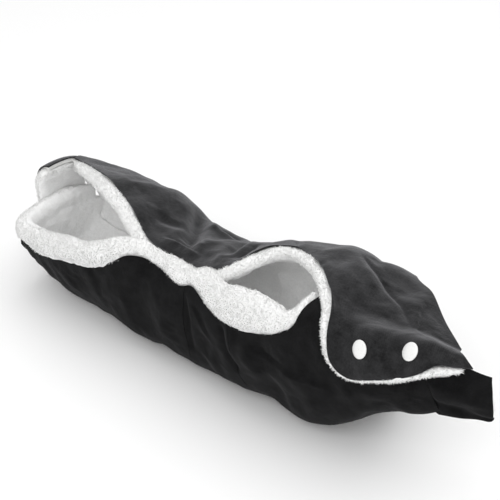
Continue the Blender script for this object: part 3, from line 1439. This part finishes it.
@dataclass
class FrontHalf:
    """The front and underside panel with its two seams, and the tab at its right end."""

    work: Workshop
    wing_x: float = -0.2180
    centre_share: float = 14 / 30
    right_share: float = 17 / 30
    crowding: float = 1.6
    even_reach: float = 0.55
    even: Spots | None = None
    lining_size: Size = (200, 84)
    lining_start: float = 0.05
    lining_span: float = 0.963
    rim_pile: float = 0.0040
    rim_rise: Pair = (0.02, 0.30)
    pile_stop: Pair = (0.60, 0.75)
    rim_searches: int = 16
    part_rows: int = 120
    seam_inset: float = 0.0005
    tab_angles: Pair = (123, 210)
    tab_corner: float = 0.004
    tab_start: float = 0.22785
    tab_lap: float = 0.0040
    lap_reach: Pair = (0.05, 0.16)
    tab_size: Size = (36, 60)
    tab_lining_size: Size = (30, 48)
    tab_ends: Table = ((0, 0.0262), (0.2, 0.0330), (0.43, 0.0362), (0.66, 0.0372), (1, 0.0377))

    def seam_place(self, table: Table, angle: Array) -> Array:
        """Give the places of a seam at some angles."""
        rows = np.array(sorted(table, key=lambda row: row[1]))
        return np.interp(angle, rows[:, 1], rows[:, 0]) * self.work.form.half_length

    def __post_init__(self) -> None:
        """Find the shares that lie evenly along the right part's rim."""
        shares = np.linspace(0, 1, 400)
        x, angle = self.rim_spot(self.right_share + (1 - self.right_share) * shares)
        steps = np.hypot(np.diff(x), self.work.form.arc(np.diff(angle)))
        run = np.concatenate(([0], np.cumsum(steps)))
        self.even = (run / run[-1], shares)

    def place_at(self, u: Array, angle: Array) -> Array:
        """Give the places of shares between the ends and the two seams, at some angles."""
        form = self.work.form
        places = np.stack([np.full(u.shape, self.wing_x), self.seam_place(form.centre_seam, angle),
                           self.seam_place(form.right_seam, angle), self.seam_place(form.right_end, angle)])
        knots = np.array([0, self.centre_share, self.right_share, 1])
        low = np.clip(np.searchsorted(knots, u, side="right") - 1, 0, 2)
        share = (u - knots[low]) / (knots[low + 1] - knots[low])
        start = np.take_along_axis(places, low[None], 0)[0]
        end = np.take_along_axis(places, low[None] + 1, 0)[0]
        return start + (end - start) * share

    def rim_spot(self, u: Array) -> Spots:
        """Give the front rim's places and angles."""
        form = self.work.form
        rim = np.array(form.rim)
        angle = np.full(u.shape, form.seam_angle / 2)
        for _ in range(self.rim_searches):
            x = self.place_at(u, angle)
            angle = (angle + smooth_read(rim[:, 0] * form.half_length, rim[:, 1], x)) / 2
        return self.place_at(u, angle), angle

    def spot(self, u: Array, v: Array) -> Spots:
        """Give the front panel's places and angles."""
        form = self.work.form
        share = (u - self.right_share) / (1 - self.right_share)
        inside = np.clip(share, 0, 1)
        even = np.interp(inside, *self.even) + share - inside
        top_u = np.where(share > 0, self.right_share + (1 - self.right_share) * even, u)
        _, top = self.rim_spot(top_u)
        angle = top + (form.seam_angle - top) * np.maximum(v, 0) ** self.crowding
        return self.place_at(top_u + (u - top_u) * ease(0, self.even_reach, v), angle), angle

    def part_spot(self, first: float, last: float) -> Callable:
        """Give the spots of the part between two seams, drawn back a little from each."""
        inset = self.seam_inset
        return lambda u, v: self.spot(first + inset + (last - first - 2 * inset) * u, v)

    def tab_spot(self, u: Array, v: Array) -> Spots:
        """Give the end tab's places and angles, its start lapped under the front panel."""
        angle = self.tab_angles[0] + (self.tab_angles[1] - self.tab_angles[0]) * v
        start = self.seam_place(self.work.form.right_end, angle) - self.tab_lap
        edge = np.clip((v - 0.9) / 0.1, 0, 1)
        corner = self.tab_corner * (1 - np.sqrt(np.maximum(0, 1 - edge ** 2)))
        end = self.tab_start + read_profile(self.tab_ends, v) - corner
        return start + (end - start) * u, angle

    def tab_inner_spot(self, u: Array, v: Array) -> Spots:
        """Give the spots of the tab's inner layers, drawn in from its edges."""
        return self.tab_spot(0.12 + 0.85 * u, 0.03 + 0.94 * v)

    def pile(self, place: Array, v: Array) -> Array:
        """Give how much deeper the lining is: most along the rim, not at all at the right."""
        deeper = self.work.layers.pile + self.rim_pile * (1 - ease(*self.rim_rise, v))
        return deeper * (1 - ease(*self.pile_stop, place))

    def build(self) -> Shape:
        """Make every piece of the front half but its lining, which is handed on."""
        work = self.work
        shell = work.layers.shell
        relief = Relief(work.form, FRONT_FOLDS, Waves(seed=9), work.billow)
        spans = (("front_left", 0, self.centre_share, 120),
                 ("front_centre", self.centre_share, self.right_share, 40),
                 ("front_right", self.right_share, 1, 190))
        for name, first, last, columns in spans:
            part = Panel(work.form, self.part_spot(first, last), work.form.front, relief)
            cover = work.panel_layer(part, (columns, self.part_rows), 0, shell)
            work.keep(cover, f"{name}_cover", work.wardrobe.front_cloth, Body.WRAP, Slot.CLOTH,
                      [f"{name}_shell"], Fill.COVER)
        whole = Panel(work.form, lambda u, v: self.spot(u, self.lining_start + self.lining_span * v),
                      work.form.front, relief)
        work.wadding(whole, "front", self.lining_size, Body.WRAP)
        lining = work.lining(whole, self.lining_size, self.pile)
        tab = Panel(work.form, self.tab_spot, work.form.front, Relief(work.form, (), Waves(seed=4)))
        drop = shell + work.layers.gap

        def lapped(u: Array, v: Array) -> Array:
            return drop * (1 - ease(*self.lap_reach, u))

        cover = work.layer(lambda u, v, depth: tab.points(u, v, depth + lapped(u, v)), self.tab_size, 0,
                           shell, tab.cloth)
        work.keep(cover, "right_tab_cover", work.wardrobe.front_cloth, Body.WRAP, Slot.CLOTH,
                  ["right_tab_shell"], Fill.SMALL_COVER)
        short = Panel(work.form, self.tab_inner_spot, work.form.front, tab.relief)
        work.hidden_layers(short, "right_tab", self.tab_lining_size, Body.WRAP, 2.2)
        return lining


@dataclass
class Roll:
    """A padded plush roll laid along a line of centres."""

    centres: Array
    across: Array
    upward: Array
    widths: Array
    thicks: Array
    sides: int = 28
    squareness: float = 2.0
    round_ends: Pair = (1, 1)
    hidden_side: float = -0.35
    least_cap: float = 0.0004

    def part(self, first: int, last: int, round_ends: Pair) -> "Roll":
        """Give a stretch of the roll as a roll of its own."""
        cut = slice(first, last)
        return replace(self, centres=self.centres[cut], across=self.across[cut], upward=self.upward[cut],
                       widths=self.widths[cut], thicks=self.thicks[cut], round_ends=round_ends)

    def build(self, shop: MeshShop) -> Shape:
        """Make the closed roll with rounded ends."""
        rings = len(self.centres)
        shape, u, v = shop.grid(rings - 1, self.sides)
        ring = np.rint(u * (rings - 1)).astype(int)
        turn = v * 2 * math.pi
        lengths = np.concatenate(([0], np.cumsum(np.linalg.norm(np.diff(self.centres, axis=0), axis=1))))
        rounding = np.ones(rings)
        for run, size, share in ((lengths, self.widths[0], self.round_ends[0]),
                                 (lengths[-1] - lengths, self.widths[-1], self.round_ends[1])):
            cap = max(size * 0.5 * share, self.least_cap)
            rounding *= np.sqrt(np.clip(1 - (1 - np.clip(run / cap, 0, 1)) ** 2, 0, 1))
        cosine = np.cos(turn)
        sine = np.sin(turn)
        swell = (np.abs(cosine) ** self.squareness + np.abs(sine) ** self.squareness) ** (-1 / self.squareness)
        swell = swell * rounding[ring]
        points = self.centres[ring]
        points = points + self.across[ring] * (cosine * self.widths[ring] / 2 * swell)[:, None]
        points = points + self.upward[ring] * (sine * self.thicks[ring] / 2 * swell)[:, None]
        shop.lay(shape, points, np.stack([lengths[ring], v * self.widths.max() * 2], -1))
        layer = shape.verts.layers.float.new("bare")
        for vertex, side in zip(shape.verts, cosine):
            vertex[layer] = float(side > self.hidden_side)
        bmesh.ops.remove_doubles(shape, verts=shape.verts[:], dist=1e-6)
        shop.outward(shape)
        return shape


@dataclass
class Trimmings:
    """The plush cuffs, trims and bridge round the openings, and the tape on the back seam."""

    work: Workshop
    left_arch: Table = ((0, 0.0060), (0.14, 0.0130), (0.5, 0.0150), (0.85, 0.0130), (1, 0.0120))
    left_arch_thick: Table = ((0, 0.0050), (0.16, 0.0105), (0.5, 0.0120), (1, 0.0120))
    right_arch: Table = ((0, 0.0060), (0.12, 0.0100), (0.4, 0.0130), (0.7, 0.0110), (1, 0.0095))
    hem: Table = ((0, 0.0098), (0.15, 0.0098), (0.25, 0.0084), (0.36, 0.0060), (0.46, 0.0054), (0.70, 0.0050),
                  (0.78, 0.0056), (0.86, 0.0068), (0.94, 0.0048), (1, 0.0012))
    hem_thick: Table = ((0, 0.0085), (0.84, 0.0085), (0.93, 0.0060), (1, 0.0014))
    right_cuff: Table = ((0, 0.0220), (0.085, 0.0290), (0.257, 0.0370), (0.411, 0.0340), (0.531, 0.0230),
                         (0.642, 0.0130), (0.85, 0.0085), (1, 0.0080))
    cuff_thick: Table = ((0, 0.0120), (0.257, 0.0190), (0.43, 0.0190), (0.60, 0.0140), (1, 0.0100))
    left_arch_run: Pair = (0.004, 0.335)
    right_arch_run: Pair = (0.490, 0.985)
    right_arch_thick: float = 0.0110
    hem_run: Pair = (0.020, 0.970)
    rim_rows: int = 14
    cuff_first_row: float = 7.85
    cuff_last: float = 0.99
    sink: float = 0.0056
    voxel: float = 0.0020
    softening: int = 12
    bare_reach: float = 0.0340
    join_step: int = 4
    join_rings: int = 360
    join_passes: int = 24
    cuff_rings: int = 220
    bridge_size: Size = (100, 36)
    bridge_end: float = 0.12
    bridge_edge: float = 0.0016
    bridge_rise: float = 0.0040
    bridge_swell: float = 0.0015
    bridge_depth: float = 0.0046
    strips: tuple[tuple[str, float], ...] = (("hook_strip", 0.0049), ("loop_strip", 0.0064))
    strip_size: Size = (40, 8)
    strip_reach: Pair = (-0.212, -0.033)
    strip_margin: float = 0.0030
    strip_thick: float = 0.0012
    tape_size: Size = (160, 8)
    tape_run: Pair = (-0.68, 1.26)
    tape_width: float = 0.0080
    tape_depths: Pair = (-0.0026, -0.0003)

    def edge_roll(self, place: Place, table: Table, start: float, end: float, widths: Table,
                  thick: float | Table, inward: float, count: int = 160, tuck: float = 0.0020) -> Roll:
        """Lay a roll beside an edge of a panel, on the side that the panel leaves open.

        Args:
            place: Gives the panel's points.
            table: The edge.
            start: The share of the edge where the roll starts.
            end: The share where it ends.
            widths: The roll's widths along its run.
            thick: Its thickness, or its thicknesses along its run.
            inward: 1 or -1, for the side of the edge on which it lies.
            count: How many rings it has.
            tuck: How far it reaches over the edge.

        Returns:
            The roll.
        """
        form = self.work.form
        run = np.linspace(0, 1, count)
        x, angle, along = form.edge_line(place, table, start + (end - start) * run)
        up = square_to(form.normal(x, angle), along)
        side = np.cross(along, up) * inward
        width = read_profile(widths, run)
        depth = np.full(count, thick) if isinstance(thick, float) else read_profile(thick, run)
        centres = place(x, angle, self.sink) + side * (width / 2 - tuck)[:, None]
        return Roll(centres, side, up, width, depth)

    def merged(self, rolls: Sequence[Roll], others: Sequence[Shape]) -> Shape:
        """Grow rolls and their neighbours into one skin, with bare sides along the rolls."""
        shop = self.work.shop
        shape = shop.merge([*(roll.build(shop) for roll in rolls), *others], self.voxel, self.softening)
        shop.mark_bare(shape, rolls, self.bare_reach)
        return shape

    def plush(self, roll: Roll | Shape, name: str, nodes: Sequence[str], body: Body | None, seed: float,
              height: float = 0.0012, size: float = 0.0050) -> Thing:
        """Finish a plush roll or skin with its clumps of pile."""
        shape = roll.build(self.work.shop) if isinstance(roll, Roll) else roll
        ruffle(shape, height, size, seed)
        piece = self.work.keep(shape, name, self.work.wardrobe.plush, body, Slot.PLUSH, nodes, Fill.PLUSH)
        self.work.tufting.apply(piece, round(seed * 10))
        return piece

    def right_trim(self) -> Roll:
        """Make the flap's trim and lay the right arch's as one line with it, parted at the fold."""
        form = self.work.form
        arch = self.edge_roll(form.upper, form.arch, *self.right_arch_run, self.right_arch,
                              self.right_arch_thick, 1)
        hem = self.edge_roll(form.flap, form.hem, *self.hem_run, self.hem, self.hem_thick, 1)
        rows = [np.concatenate([roll.centres, roll.across, roll.upward, roll.widths[:, None],
                                roll.thicks[:, None]], 1) for roll in (arch, hem)]
        whole = np.concatenate([rows[0][::self.join_step], rows[1][::self.join_step]])
        whole = relaxed(resample(whole, self.join_rings), self.join_passes)
        meeting = (rows[0][-1, :3] + rows[1][0, :3]) / 2
        split = int(np.argmin(np.linalg.norm(whole[:, :3] - meeting, axis=1)))
        joined = Roll(whole[:, :3], unit(whole[:, 3:6]), unit(whole[:, 6:9]), whole[:, 9], whole[:, 10])
        self.plush(joined.part(split - 2, self.join_rings, (0, 1)), "right_flap_plush", ["right_flap_trim"],
                   Body.RIGHT_FLAP, 6.1, 0.0008, 0.0040)
        return joined.part(0, split + 3, (1, 0))

    def bridge_spot(self, u: Array, v: Array, side: float = 0,
                    reach: Pair = (-0.29, 0.035)) -> Spots:
        """Give the places of the strip between the two hand openings."""
        form = self.work.form
        x = (reach[0] + (reach[1] - reach[0]) * u) * form.half_length
        margin = math.degrees(side / form.front_reach)
        arch = np.array(form.arch[:9])
        rim = np.array(form.rim)
        top = smooth_read(arch[:, 0] * form.half_length, arch[:, 1], x) + margin
        bottom = smooth_read(rim[:, 0] * form.half_length, rim[:, 1], x) - margin
        return x, top + (bottom - top) * v

    def build_bridge(self) -> Shape:
        """Shape the plush bridge and make its two closure strips."""
        work = self.work
        plain = Relief(work.form, (), Waves(seed=2))
        bridge = Panel(work.form, self.bridge_spot, work.form.upper, plain)

        def crowned(u: Array, v: Array, depth: float) -> Array:
            ends = ease(0, self.bridge_end, u) * ease(0, self.bridge_end, 1 - u)
            rise = self.bridge_rise + self.bridge_swell * ends
            crown = self.bridge_edge - rise * np.sin(math.pi * np.clip(v, 0, 1)) ** 0.5
            return bridge.points(u, v, np.where(depth > 0, depth, crown))

        shape = work.layer(crowned, self.bridge_size, 0, self.bridge_depth)
        strip = Panel(work.form, lambda u, v: self.bridge_spot(u, v, self.strip_margin, self.strip_reach),
                      work.form.upper, plain)
        for name, depth in self.strips:
            tape = work.panel_layer(strip, self.strip_size, depth, depth + self.strip_thick)
            work.keep(tape, f"{name}_tape", work.wardrobe.tape, Body.WRAP, Slot.TAPE, [name])
        return shape

    def build_binding(self) -> None:
        """Make the tape that covers the back seam."""
        work = self.work
        form = work.form
        half = math.degrees(self.tape_width / 2 / (form.height / 2))

        def spot(u: Array, v: Array) -> Spots:
            x = (self.tape_run[0] + self.tape_run[1] * u) * form.half_length
            return x, form.seam_angle + half * (2 * v - 1)

        panel = Panel(form, spot, form.upper, Relief(form, (), Waves(height=0)))
        shape = work.panel_layer(panel, self.tape_size, *self.tape_depths)
        work.keep(shape, "back_seam_tape", work.wardrobe.tape, Body.WRAP, Slot.TAPE, ["back_seam_binding"])

    def build(self, upper_lining: Shape, front_lining: Shape,
              left_end: "LeftEnd") -> None:
        """Make every trimming in one skin with the lining that it is sewn to."""
        form = self.work.form
        left = self.edge_roll(form.upper, form.arch, *self.left_arch_run, self.left_arch, self.left_arch_thick,
                              1)
        left.round_ends = (1, 0.6)
        skin = self.merged([left, self.right_trim()], [upper_lining])
        self.plush(skin, "upper_plush_lining", ["upper_lining", "left_arch_trim", "right_arch_trim"],
                   Body.WRAP, 1.7, 0.0013, 0.0060)
        line = (*form.rim[:self.rim_rows], *form.cuff_end)
        first = self.cuff_first_row / (len(line) - 1)
        cuff = self.edge_roll(form.front, line, first, self.cuff_last, self.right_cuff, self.cuff_thick, -1,
                              self.cuff_rings)
        skin = self.merged([cuff, left_end.cuff()], [front_lining, self.build_bridge(), left_end.build(self)])
        self.plush(skin, "front_plush_lining",
                   ["front_lining", "right_cuff", "centre_bridge", "left_cuff", "left_wing_lining"],
                   Body.WRAP, 8.3, 0.0015, 0.0060)
        self.build_binding()


@dataclass
class LeftEnd:
    """The wing that closes the left end, the left cuff round it and the left flap over it."""

    work: Workshop
    wing_x: float = -0.2180
    bulge: float = 0.0020
    back_y: float = 0.0400
    tops: tuple[float, ...] = (0.0500, 0.0600, 0.0560)
    flap_front_y: float = -0.0170
    flap_back_y: float = 0.0330
    flap_hem_z: float = 0.0400
    flap_corner: float = 0.0100
    shoulder_depth: float = 1.3
    shoulder_share: float = 0.42
    cuff_inset: float = 0.0025
    cuff_low_width: float = 0.0200
    cuff_least: float = 0.6
    cuff_shares: tuple[float, ...] = (0.98, 0.84, 0.68, 0.52, 0.36, 0.24)
    cuff_rim_run: Pair = (0.010, 0.345)
    cuff_widths: Table = ((0, 0.0150), (0.2, 0.0220), (0.5, 0.0250), (0.85, 0.0230), (1, 0.0190))
    cuff_thicks: Table = ((0, 0.0150), (0.3, 0.0175), (0.85, 0.0170), (1, 0.0130))
    cuff_points: int = 20
    cuff_rings: int = 220
    cuff_passes: int = 12
    cuff_out: float = 0.0012
    front_rings: int = 90
    front_run: float = 0.87
    front_depth: float = 0.0085
    front_inset: float = 0.0010
    front_thick: float = 0.0125
    front_widths: Table = ((0, 0.0130), (0.2, 0.0150), (0.8, 0.0130), (1, 0.0090))
    layer_size: Size = (50, 60)
    wing_size: Size = (50, 40)
    wing_start: float = 0.04
    wing_pile: float = 0.0030
    wing_reach: Triple = (-0.02, 1.17, 1.0)
    flap_pile: float = 0.0060
    flap_pile_fall: Pair = (0.30, 0.85)
    flap_reach: Triple = (-0.02, 1.02, 0.97)
    lining_start: float = 0.02
    top_stretch: Pair = (0.70, 0.90)
    rim_rise: Pair = (0.05, 0.70)
    bend_reach: float = 0.0170
    seat: float = 0.0003
    fold_gap: float = 0.0006

    def height_at(self, x: float, y: Array, low: float, high: float, rising: bool) -> Array:
        """Find the wrap's height where it crosses some places across the muff."""
        form = self.work.form
        spot = np.full(y.shape, x)
        return form.bare(spot, form.crossing(spot, y, low, high, rising))[..., 2]

    def wing_top(self, share: Array) -> Array:
        """Give the height of the wing's rim."""
        return smooth_read(np.array([0, 0.5, 1]), np.array(self.tops), share)

    def wing_y(self, share: Array) -> Array:
        """Give the place across the muff of the wing."""
        front = self.work.form.bare(np.array([self.wing_x]), np.array([190.0]))[0, 1]
        return front + (self.back_y - front) * share

    def wing_points(self, share: Array, up: Array, depth: float | Array) -> Array:
        """Give points of the wing at a depth below its outer face."""
        y = self.wing_y(share)
        low = self.height_at(self.wing_x, y, 180, 300, True)
        z = low + (self.wing_top(share) - low) * up
        x = self.wing_x - self.seat - self.work.layers.total - self.bulge * np.sin(math.pi * share) + depth
        return np.stack([x, y, z], -1)

    def flap_points(self, y: Array, down: Array, depth: float | Array) -> Array:
        """Give points of the left flap at a depth below its outer face."""
        form = self.work.form
        total = self.work.layers.total
        end_x = form.upper_left_end[0][0] * form.half_length
        fold_x = end_x - self.fold_gap
        reach = fold_x - (self.wing_x - self.seat - total - self.bulge - form.lap_gap - total)
        fold_z = self.height_at(end_x, y, 20, 130, False)
        turn = np.minimum(down / self.shoulder_share, 1) * math.pi / 2
        below = np.maximum(0, down - self.shoulder_share) / (1 - self.shoulder_share)
        shoulder_z = fold_z - reach * self.shoulder_depth
        x = fold_x - reach * np.sin(turn)
        z = shoulder_z + (fold_z - shoulder_z) * np.cos(turn) - below * (shoulder_z - self.flap_hem_z)
        return np.stack([x + np.sin(turn) * depth, y, z - np.cos(turn) * depth], -1)

    def flap_y(self, share: Array, down: Array) -> Array:
        """Give the place across the flap, drawn in at its rounded corners."""
        corner = np.maximum(0, (down - 0.8) / 0.2)
        inset = self.flap_corner * (1 - np.sqrt(np.maximum(0, 1 - corner * corner)))
        return self.flap_front_y + inset + (self.flap_back_y - self.flap_front_y - 2 * inset) * share

    def layer_set(self, points_at: Callable, prefix: str, size: Size, body: Body | None,
                  cloth: Material, pile: Callable, rim_pile: float,
                  reach: Triple) -> Shape:
        """Make the cover and wadding of a panel of the left end, and shape its lining.

        Args:
            points_at: Gives the panel's points for two shares and a depth.
            prefix: What its nodes' names start with.
            size: Faces along both directions.
            body: The body that it rides on, or None where it bends with the left flap.
            cloth: The cover's material.
            pile: Gives how much deeper the lining is for the second share.
            rim_pile: How much deeper it gets towards the far rim.
            reach: The lining's start and end along the first share and its end along the second.

        Returns:
            The lining's shape.
        """
        work = self.work
        layers = work.layers
        cover = work.layer(points_at, size, 0, layers.shell)
        pieces = [work.keep(cover, f"{prefix}_cover", cloth, body, Slot.CLOTH, [f"{prefix}_shell"],
                            Fill.SMALL_COVER)]

        def inner(u: Array, v: Array, depth: float) -> Array:
            return points_at(0.03 + 0.94 * u, 0.02 + 0.95 * v, depth)

        wadding = work.layer(inner, (size[0] // 2, size[1] // 2), layers.wadding_top,
                             layers.wadding_top + layers.wadding)
        pieces.append(work.keep(wadding, f"{prefix}_wadding_fill", work.wardrobe.loose, body, None,
                                [f"{prefix}_wadding"], Fill.WADDING))
        if body is None:
            for piece in pieces:
                self.bend(piece)

        def lined(u: Array, v: Array, depth: float | Array) -> Array:
            end = 1 + (reach[1] - 1) * ease(*self.top_stretch, v)
            up = self.lining_start + (reach[2] - self.lining_start) * v
            return points_at(reach[0] + (end - reach[0]) * u, up, depth)

        def deep(u: Array, v: Array) -> Array:
            return layers.plush_top + layers.plush + pile(v) + rim_pile * ease(*self.rim_rise, v)

        return work.layer(lined, size, layers.plush_top, deep)

    def bend(self, piece: Thing) -> None:
        """Let a piece of the left flap bend over the fold when the flap opens."""
        middle = (self.flap_front_y + self.flap_back_y) / 2
        height = float(self.flap_points(np.array([middle]), np.zeros(1), 0)[0, 2])
        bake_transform(piece)

    def cuff(self) -> Roll:
        """Lay the left cuff along the wing, round the corner and along the front rim."""
        form = self.work.form
        swell = np.sin(math.pi * np.linspace(0, 1, self.cuff_points)) ** 0.6
        low_widths = self.cuff_low_width * (self.cuff_least + 0.4 * swell)
        middle_x = self.wing_x - self.seat - self.work.layers.total / 2 + self.cuff_inset
        shares = np.array(self.cuff_shares)
        wing = np.stack([middle_x - self.bulge * np.sin(math.pi * shares), self.wing_y(shares),
                         self.wing_top(shares) + low_widths[:len(shares)] / 2], -1)
        run = np.linspace(*self.cuff_rim_run, self.cuff_points - len(shares))
        x, angle, along = form.edge_line(form.front, form.rim, run)
        side = unit(np.cross(form.normal(x, angle), along))
        middle = (form.front(x, angle, 0) + form.front(x, angle, self.work.layers.total)) / 2
        rim = middle + side * (low_widths[len(shares):] / 2)[:, None]
        centres = relaxed(resample(np.concatenate([wing, rim]), self.cuff_rings), self.cuff_passes)
        along = unit(np.gradient(centres, axis=0))
        out = centres - np.array([self.wing_x / 2, 0, 0])
        out[:, 2] = 0
        out = square_to(out, along)
        across = np.cross(along, out)
        run = np.linspace(0, 1, self.cuff_rings)
        return Roll(centres + out * self.cuff_out, across, out, read_profile(self.cuff_widths, run),
                    read_profile(self.cuff_thicks, run), round_ends=(1, 0.5))

    def flap_front(self) -> Roll:
        """Lay the plush that shows round the left flap's front edge."""
        run = np.linspace(0, 1, self.front_rings)
        down = self.front_run * run
        y = self.flap_y(np.zeros(self.front_rings), down)
        centres = self.flap_points(y, down, self.front_depth)
        along = unit(np.gradient(centres, axis=0))
        across = square_to(np.tile(np.array([0, -1.0, 0]), (self.front_rings, 1)), along)
        up = np.cross(along, across)
        return Roll(centres - across * self.front_inset, across, up, read_profile(self.front_widths, run),
                    np.full(self.front_rings, self.front_thick))

    def build(self, trimmings: Trimmings) -> Shape:
        """Make every piece of the left end but the wing's lining, which is handed on."""
        cloth = self.work.wardrobe
        flap = self.layer_set(lambda u, v, depth: self.flap_points(self.flap_y(u, v), v, depth), "left_flap",
                              self.layer_size, None, cloth.upper_cloth,
                              lambda v: self.flap_pile * (1 - ease(*self.flap_pile_fall, v)), 0,
                              self.flap_reach)
        skin = trimmings.merged([self.flap_front()], [flap])
        self.bend(trimmings.plush(skin, "left_flap_plush_lining", ["left_flap_lining"], None, 9.1, 0.0012,
                                  0.0060))

        def wing(u: Array, v: Array, depth: float | Array) -> Array:
            return self.wing_points(self.wing_start + (1 - self.wing_start) * u, v, depth)

        return self.layer_set(wing, "left_wing", self.wing_size, Body.WRAP, cloth.front_cloth,
                              lambda v: self.wing_pile, self.wing_pile, self.wing_reach)


@dataclass
class Snaps:
    """The press snaps: smooth enamelled caps outside, bright metal parts within."""

    work: Workshop
    radius: float = 0.0070
    rise: float = 0.0026
    post: float = 0.0018
    gap: float = 0.0003
    socket_thick: float = 0.0020
    own_tilt: float = 0.08
    left_shares: Pair = (0.22, 0.78)
    left_down: float = 0.84
    rim: Table = ((0.98, 0), (1, 0.12), (1, 0.26))
    dome_start: float = 0.14
    dome_rings: int = 12
    segments: int = 48

    def outline(self) -> list[Pair]:
        """Give the half section of a cap: its post, its rolled rim and its dome."""
        foot = -(self.work.layers.total - self.socket_thick) + self.gap
        rim = [(self.radius * across, self.gap + self.rise * up) for across, up in self.rim]
        dome = [(self.radius * math.cos(turn), self.gap + self.rise * (0.3 + 0.7 * math.sin(turn)))
                for turn in np.linspace(self.dome_start, math.pi / 2, self.dome_rings)]
        return [(0, foot), (self.post, foot), (self.post, self.gap), *rim, *dome[:-1], (0, dome[-1][1])]

    def cap(self, name: str, origin: Sequence[float], outward: Sequence[float], body: Body) -> None:
        """Turn one cap about its outward direction."""
        shape = bmesh.new()
        profile = [shape.verts.new((radius, 0, height)) for radius, height in self.outline()]
        edges = [shape.edges.new(pair) for pair in zip(profile, profile[1:])]
        bmesh.ops.spin(shape, geom=profile + edges, cent=(0, 0, 0), axis=(0, 0, 1), angle=2 * math.pi,
                       steps=self.segments, use_merge=True)
        bmesh.ops.remove_doubles(shape, verts=shape.verts[:], dist=1e-6)
        turn = Vector(outward).to_track_quat("Z", "Y").to_matrix().to_4x4()
        bmesh.ops.transform(shape, matrix=Matrix.Translation(Vector(origin)) @ turn, verts=shape.verts[:])
        self.work.shop.outward(shape)
        self.work.keep(shape, f"{name}_enamel_cap", self.work.wardrobe.cap, body, Slot.CAP, [f"{name}_cap"])

    def build(self, left_end: LeftEnd) -> None:
        """Make the four caps."""
        form = self.work.form
        step = self.radius / 2
        turn = math.degrees(step / form.front_reach)
        for number, (place, angle, tilt, droop) in enumerate(Relief.calm_spots, 1):
            slope = tilt + self.own_tilt
            x = np.array([place * form.half_length])
            angle = np.array([float(angle)])
            along = form.flap(x + step, angle, -slope * step) - form.flap(x - step, angle, slope * step)
            sunk = droop * form.radius * math.radians(turn)
            round_it = form.flap(x, angle + turn, sunk) - form.flap(x, angle - turn, -sunk)
            outward = unit(np.cross(round_it, along))[0]
            self.cap(f"right_snap_{number}", form.flap(x, angle, 0)[0], outward, Body.RIGHT_FLAP)
        for number, share in enumerate(self.left_shares, 1):
            y = left_end.flap_front_y + (left_end.flap_back_y - left_end.flap_front_y) * share
            origin = left_end.flap_points(np.array([y]), np.array([self.left_down]), 0)[0]
            self.cap(f"left_snap_{number}", origin, (-1, 0, 0), Body.LEFT_FLAP)


def node_material(names: Sequence[str], material: Material) -> None:
    """Give frame nodes that stay as they are a material of their own."""
    for thing in bpy.data.objects:
        if thing.name in names:
            thing.data.materials.clear()
            thing.data.materials.append(material)


@dataclass
class Studio:
    """The pale floor, the soft lights and the camera at the photograph's angle."""

    eye: Triple = (0.5433, -0.6378, 0.6240)
    azimuth: float = 40
    elevation: float = 32
    lens: float = 85
    aim: Triple = (0, 0, 0.06)
    floor_size: float = 6
    floor_drop: float = 0.0004
    floor_tone: float = 0.98
    sky: float = 0.76
    lights: tuple[tuple[str, Triple, float, float], ...] = (
        ("top_light", (0.0, 0.40, 1.5), 2.0, 8.5),
        ("front_light", (0.60, -1.05, 1.05), 0.8, 6.2),
        ("left_light", (-1.2, -0.7, 0.9), 1.2, 0.4),
    )

    def camera(self) -> None:
        """Place the camera."""
        turn = math.radians(self.azimuth)
        rise = math.radians(self.elevation)
        back = Vector((math.sin(turn) * math.cos(rise), -math.cos(turn) * math.cos(rise), math.sin(rise)))
        right = Vector((math.cos(turn), math.sin(turn), 0))
        up = back.cross(right)
        pose = Matrix((right, up, back)).transposed().to_4x4()
        pose.translation = Vector(self.eye)
        data = bpy.data.cameras.new("camera")
        data.lens = self.lens
        data.sensor_width = 36
        thing = hang("camera", data)
        thing.matrix_world = pose
        bpy.context.scene.camera = thing

    def light(self, name: str, place: Triple, size: float, power: float) -> None:
        """Hang a square soft light that looks at the muff."""
        data = bpy.data.lights.new(name, "AREA")
        data.size = size
        data.energy = power
        thing = hang(name, data)
        thing.location = place
        away = Vector(place) - Vector(self.aim)
        thing.rotation_euler = away.to_track_quat("Z", "Y").to_euler()

    def floor(self) -> None:
        """Lay the pale floor."""
        shape = bmesh.new()
        bmesh.ops.create_grid(shape, x_segments=1, y_segments=1, size=self.floor_size)
        thing = hang("studio_floor", to_mesh(shape, "studio_floor"))
        thing.location.z = -self.floor_drop
        material = bpy.data.materials.new("pale_floor")
        material.use_nodes = True
        shader = material.node_tree.nodes["Principled BSDF"]
        shader.inputs["Base Color"].default_value = (*[self.floor_tone] * 3, 1)
        shader.inputs["Roughness"].default_value = 0.9
        thing.data.materials.append(material)

    def build(self) -> None:
        """Set up the studio."""
        self.camera()
        self.floor()
        for light in self.lights:
            self.light(*light)
        world = bpy.data.worlds.new("studio")
        world.use_nodes = True
        sky = world.node_tree.nodes["Background"]
        sky.inputs["Color"].default_value = (1, 1, 1, 1)
        sky.inputs["Strength"].default_value = self.sky
        bpy.context.scene.world = world
        bpy.context.scene.view_settings.view_transform = "Standard"


def main() -> None:
    """Build every part of the dressed muff and report each piece."""
    logging.basicConfig(level=logging.INFO, format="%(message)s")
    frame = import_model()
    work = Workshop()
    Studio().build()
    left_end = LeftEnd(work)
    Trimmings(work).build(UpperHalf(work).build(), FrontHalf(work).build(), left_end)
    Snaps(work).build(left_end)
    metal = [name for name in frame["nodes"] if name.endswith(("_socket", "_stud", "_back"))]
    node_material(metal, work.wardrobe.metal)


if __name__ == "__main__":
    main()
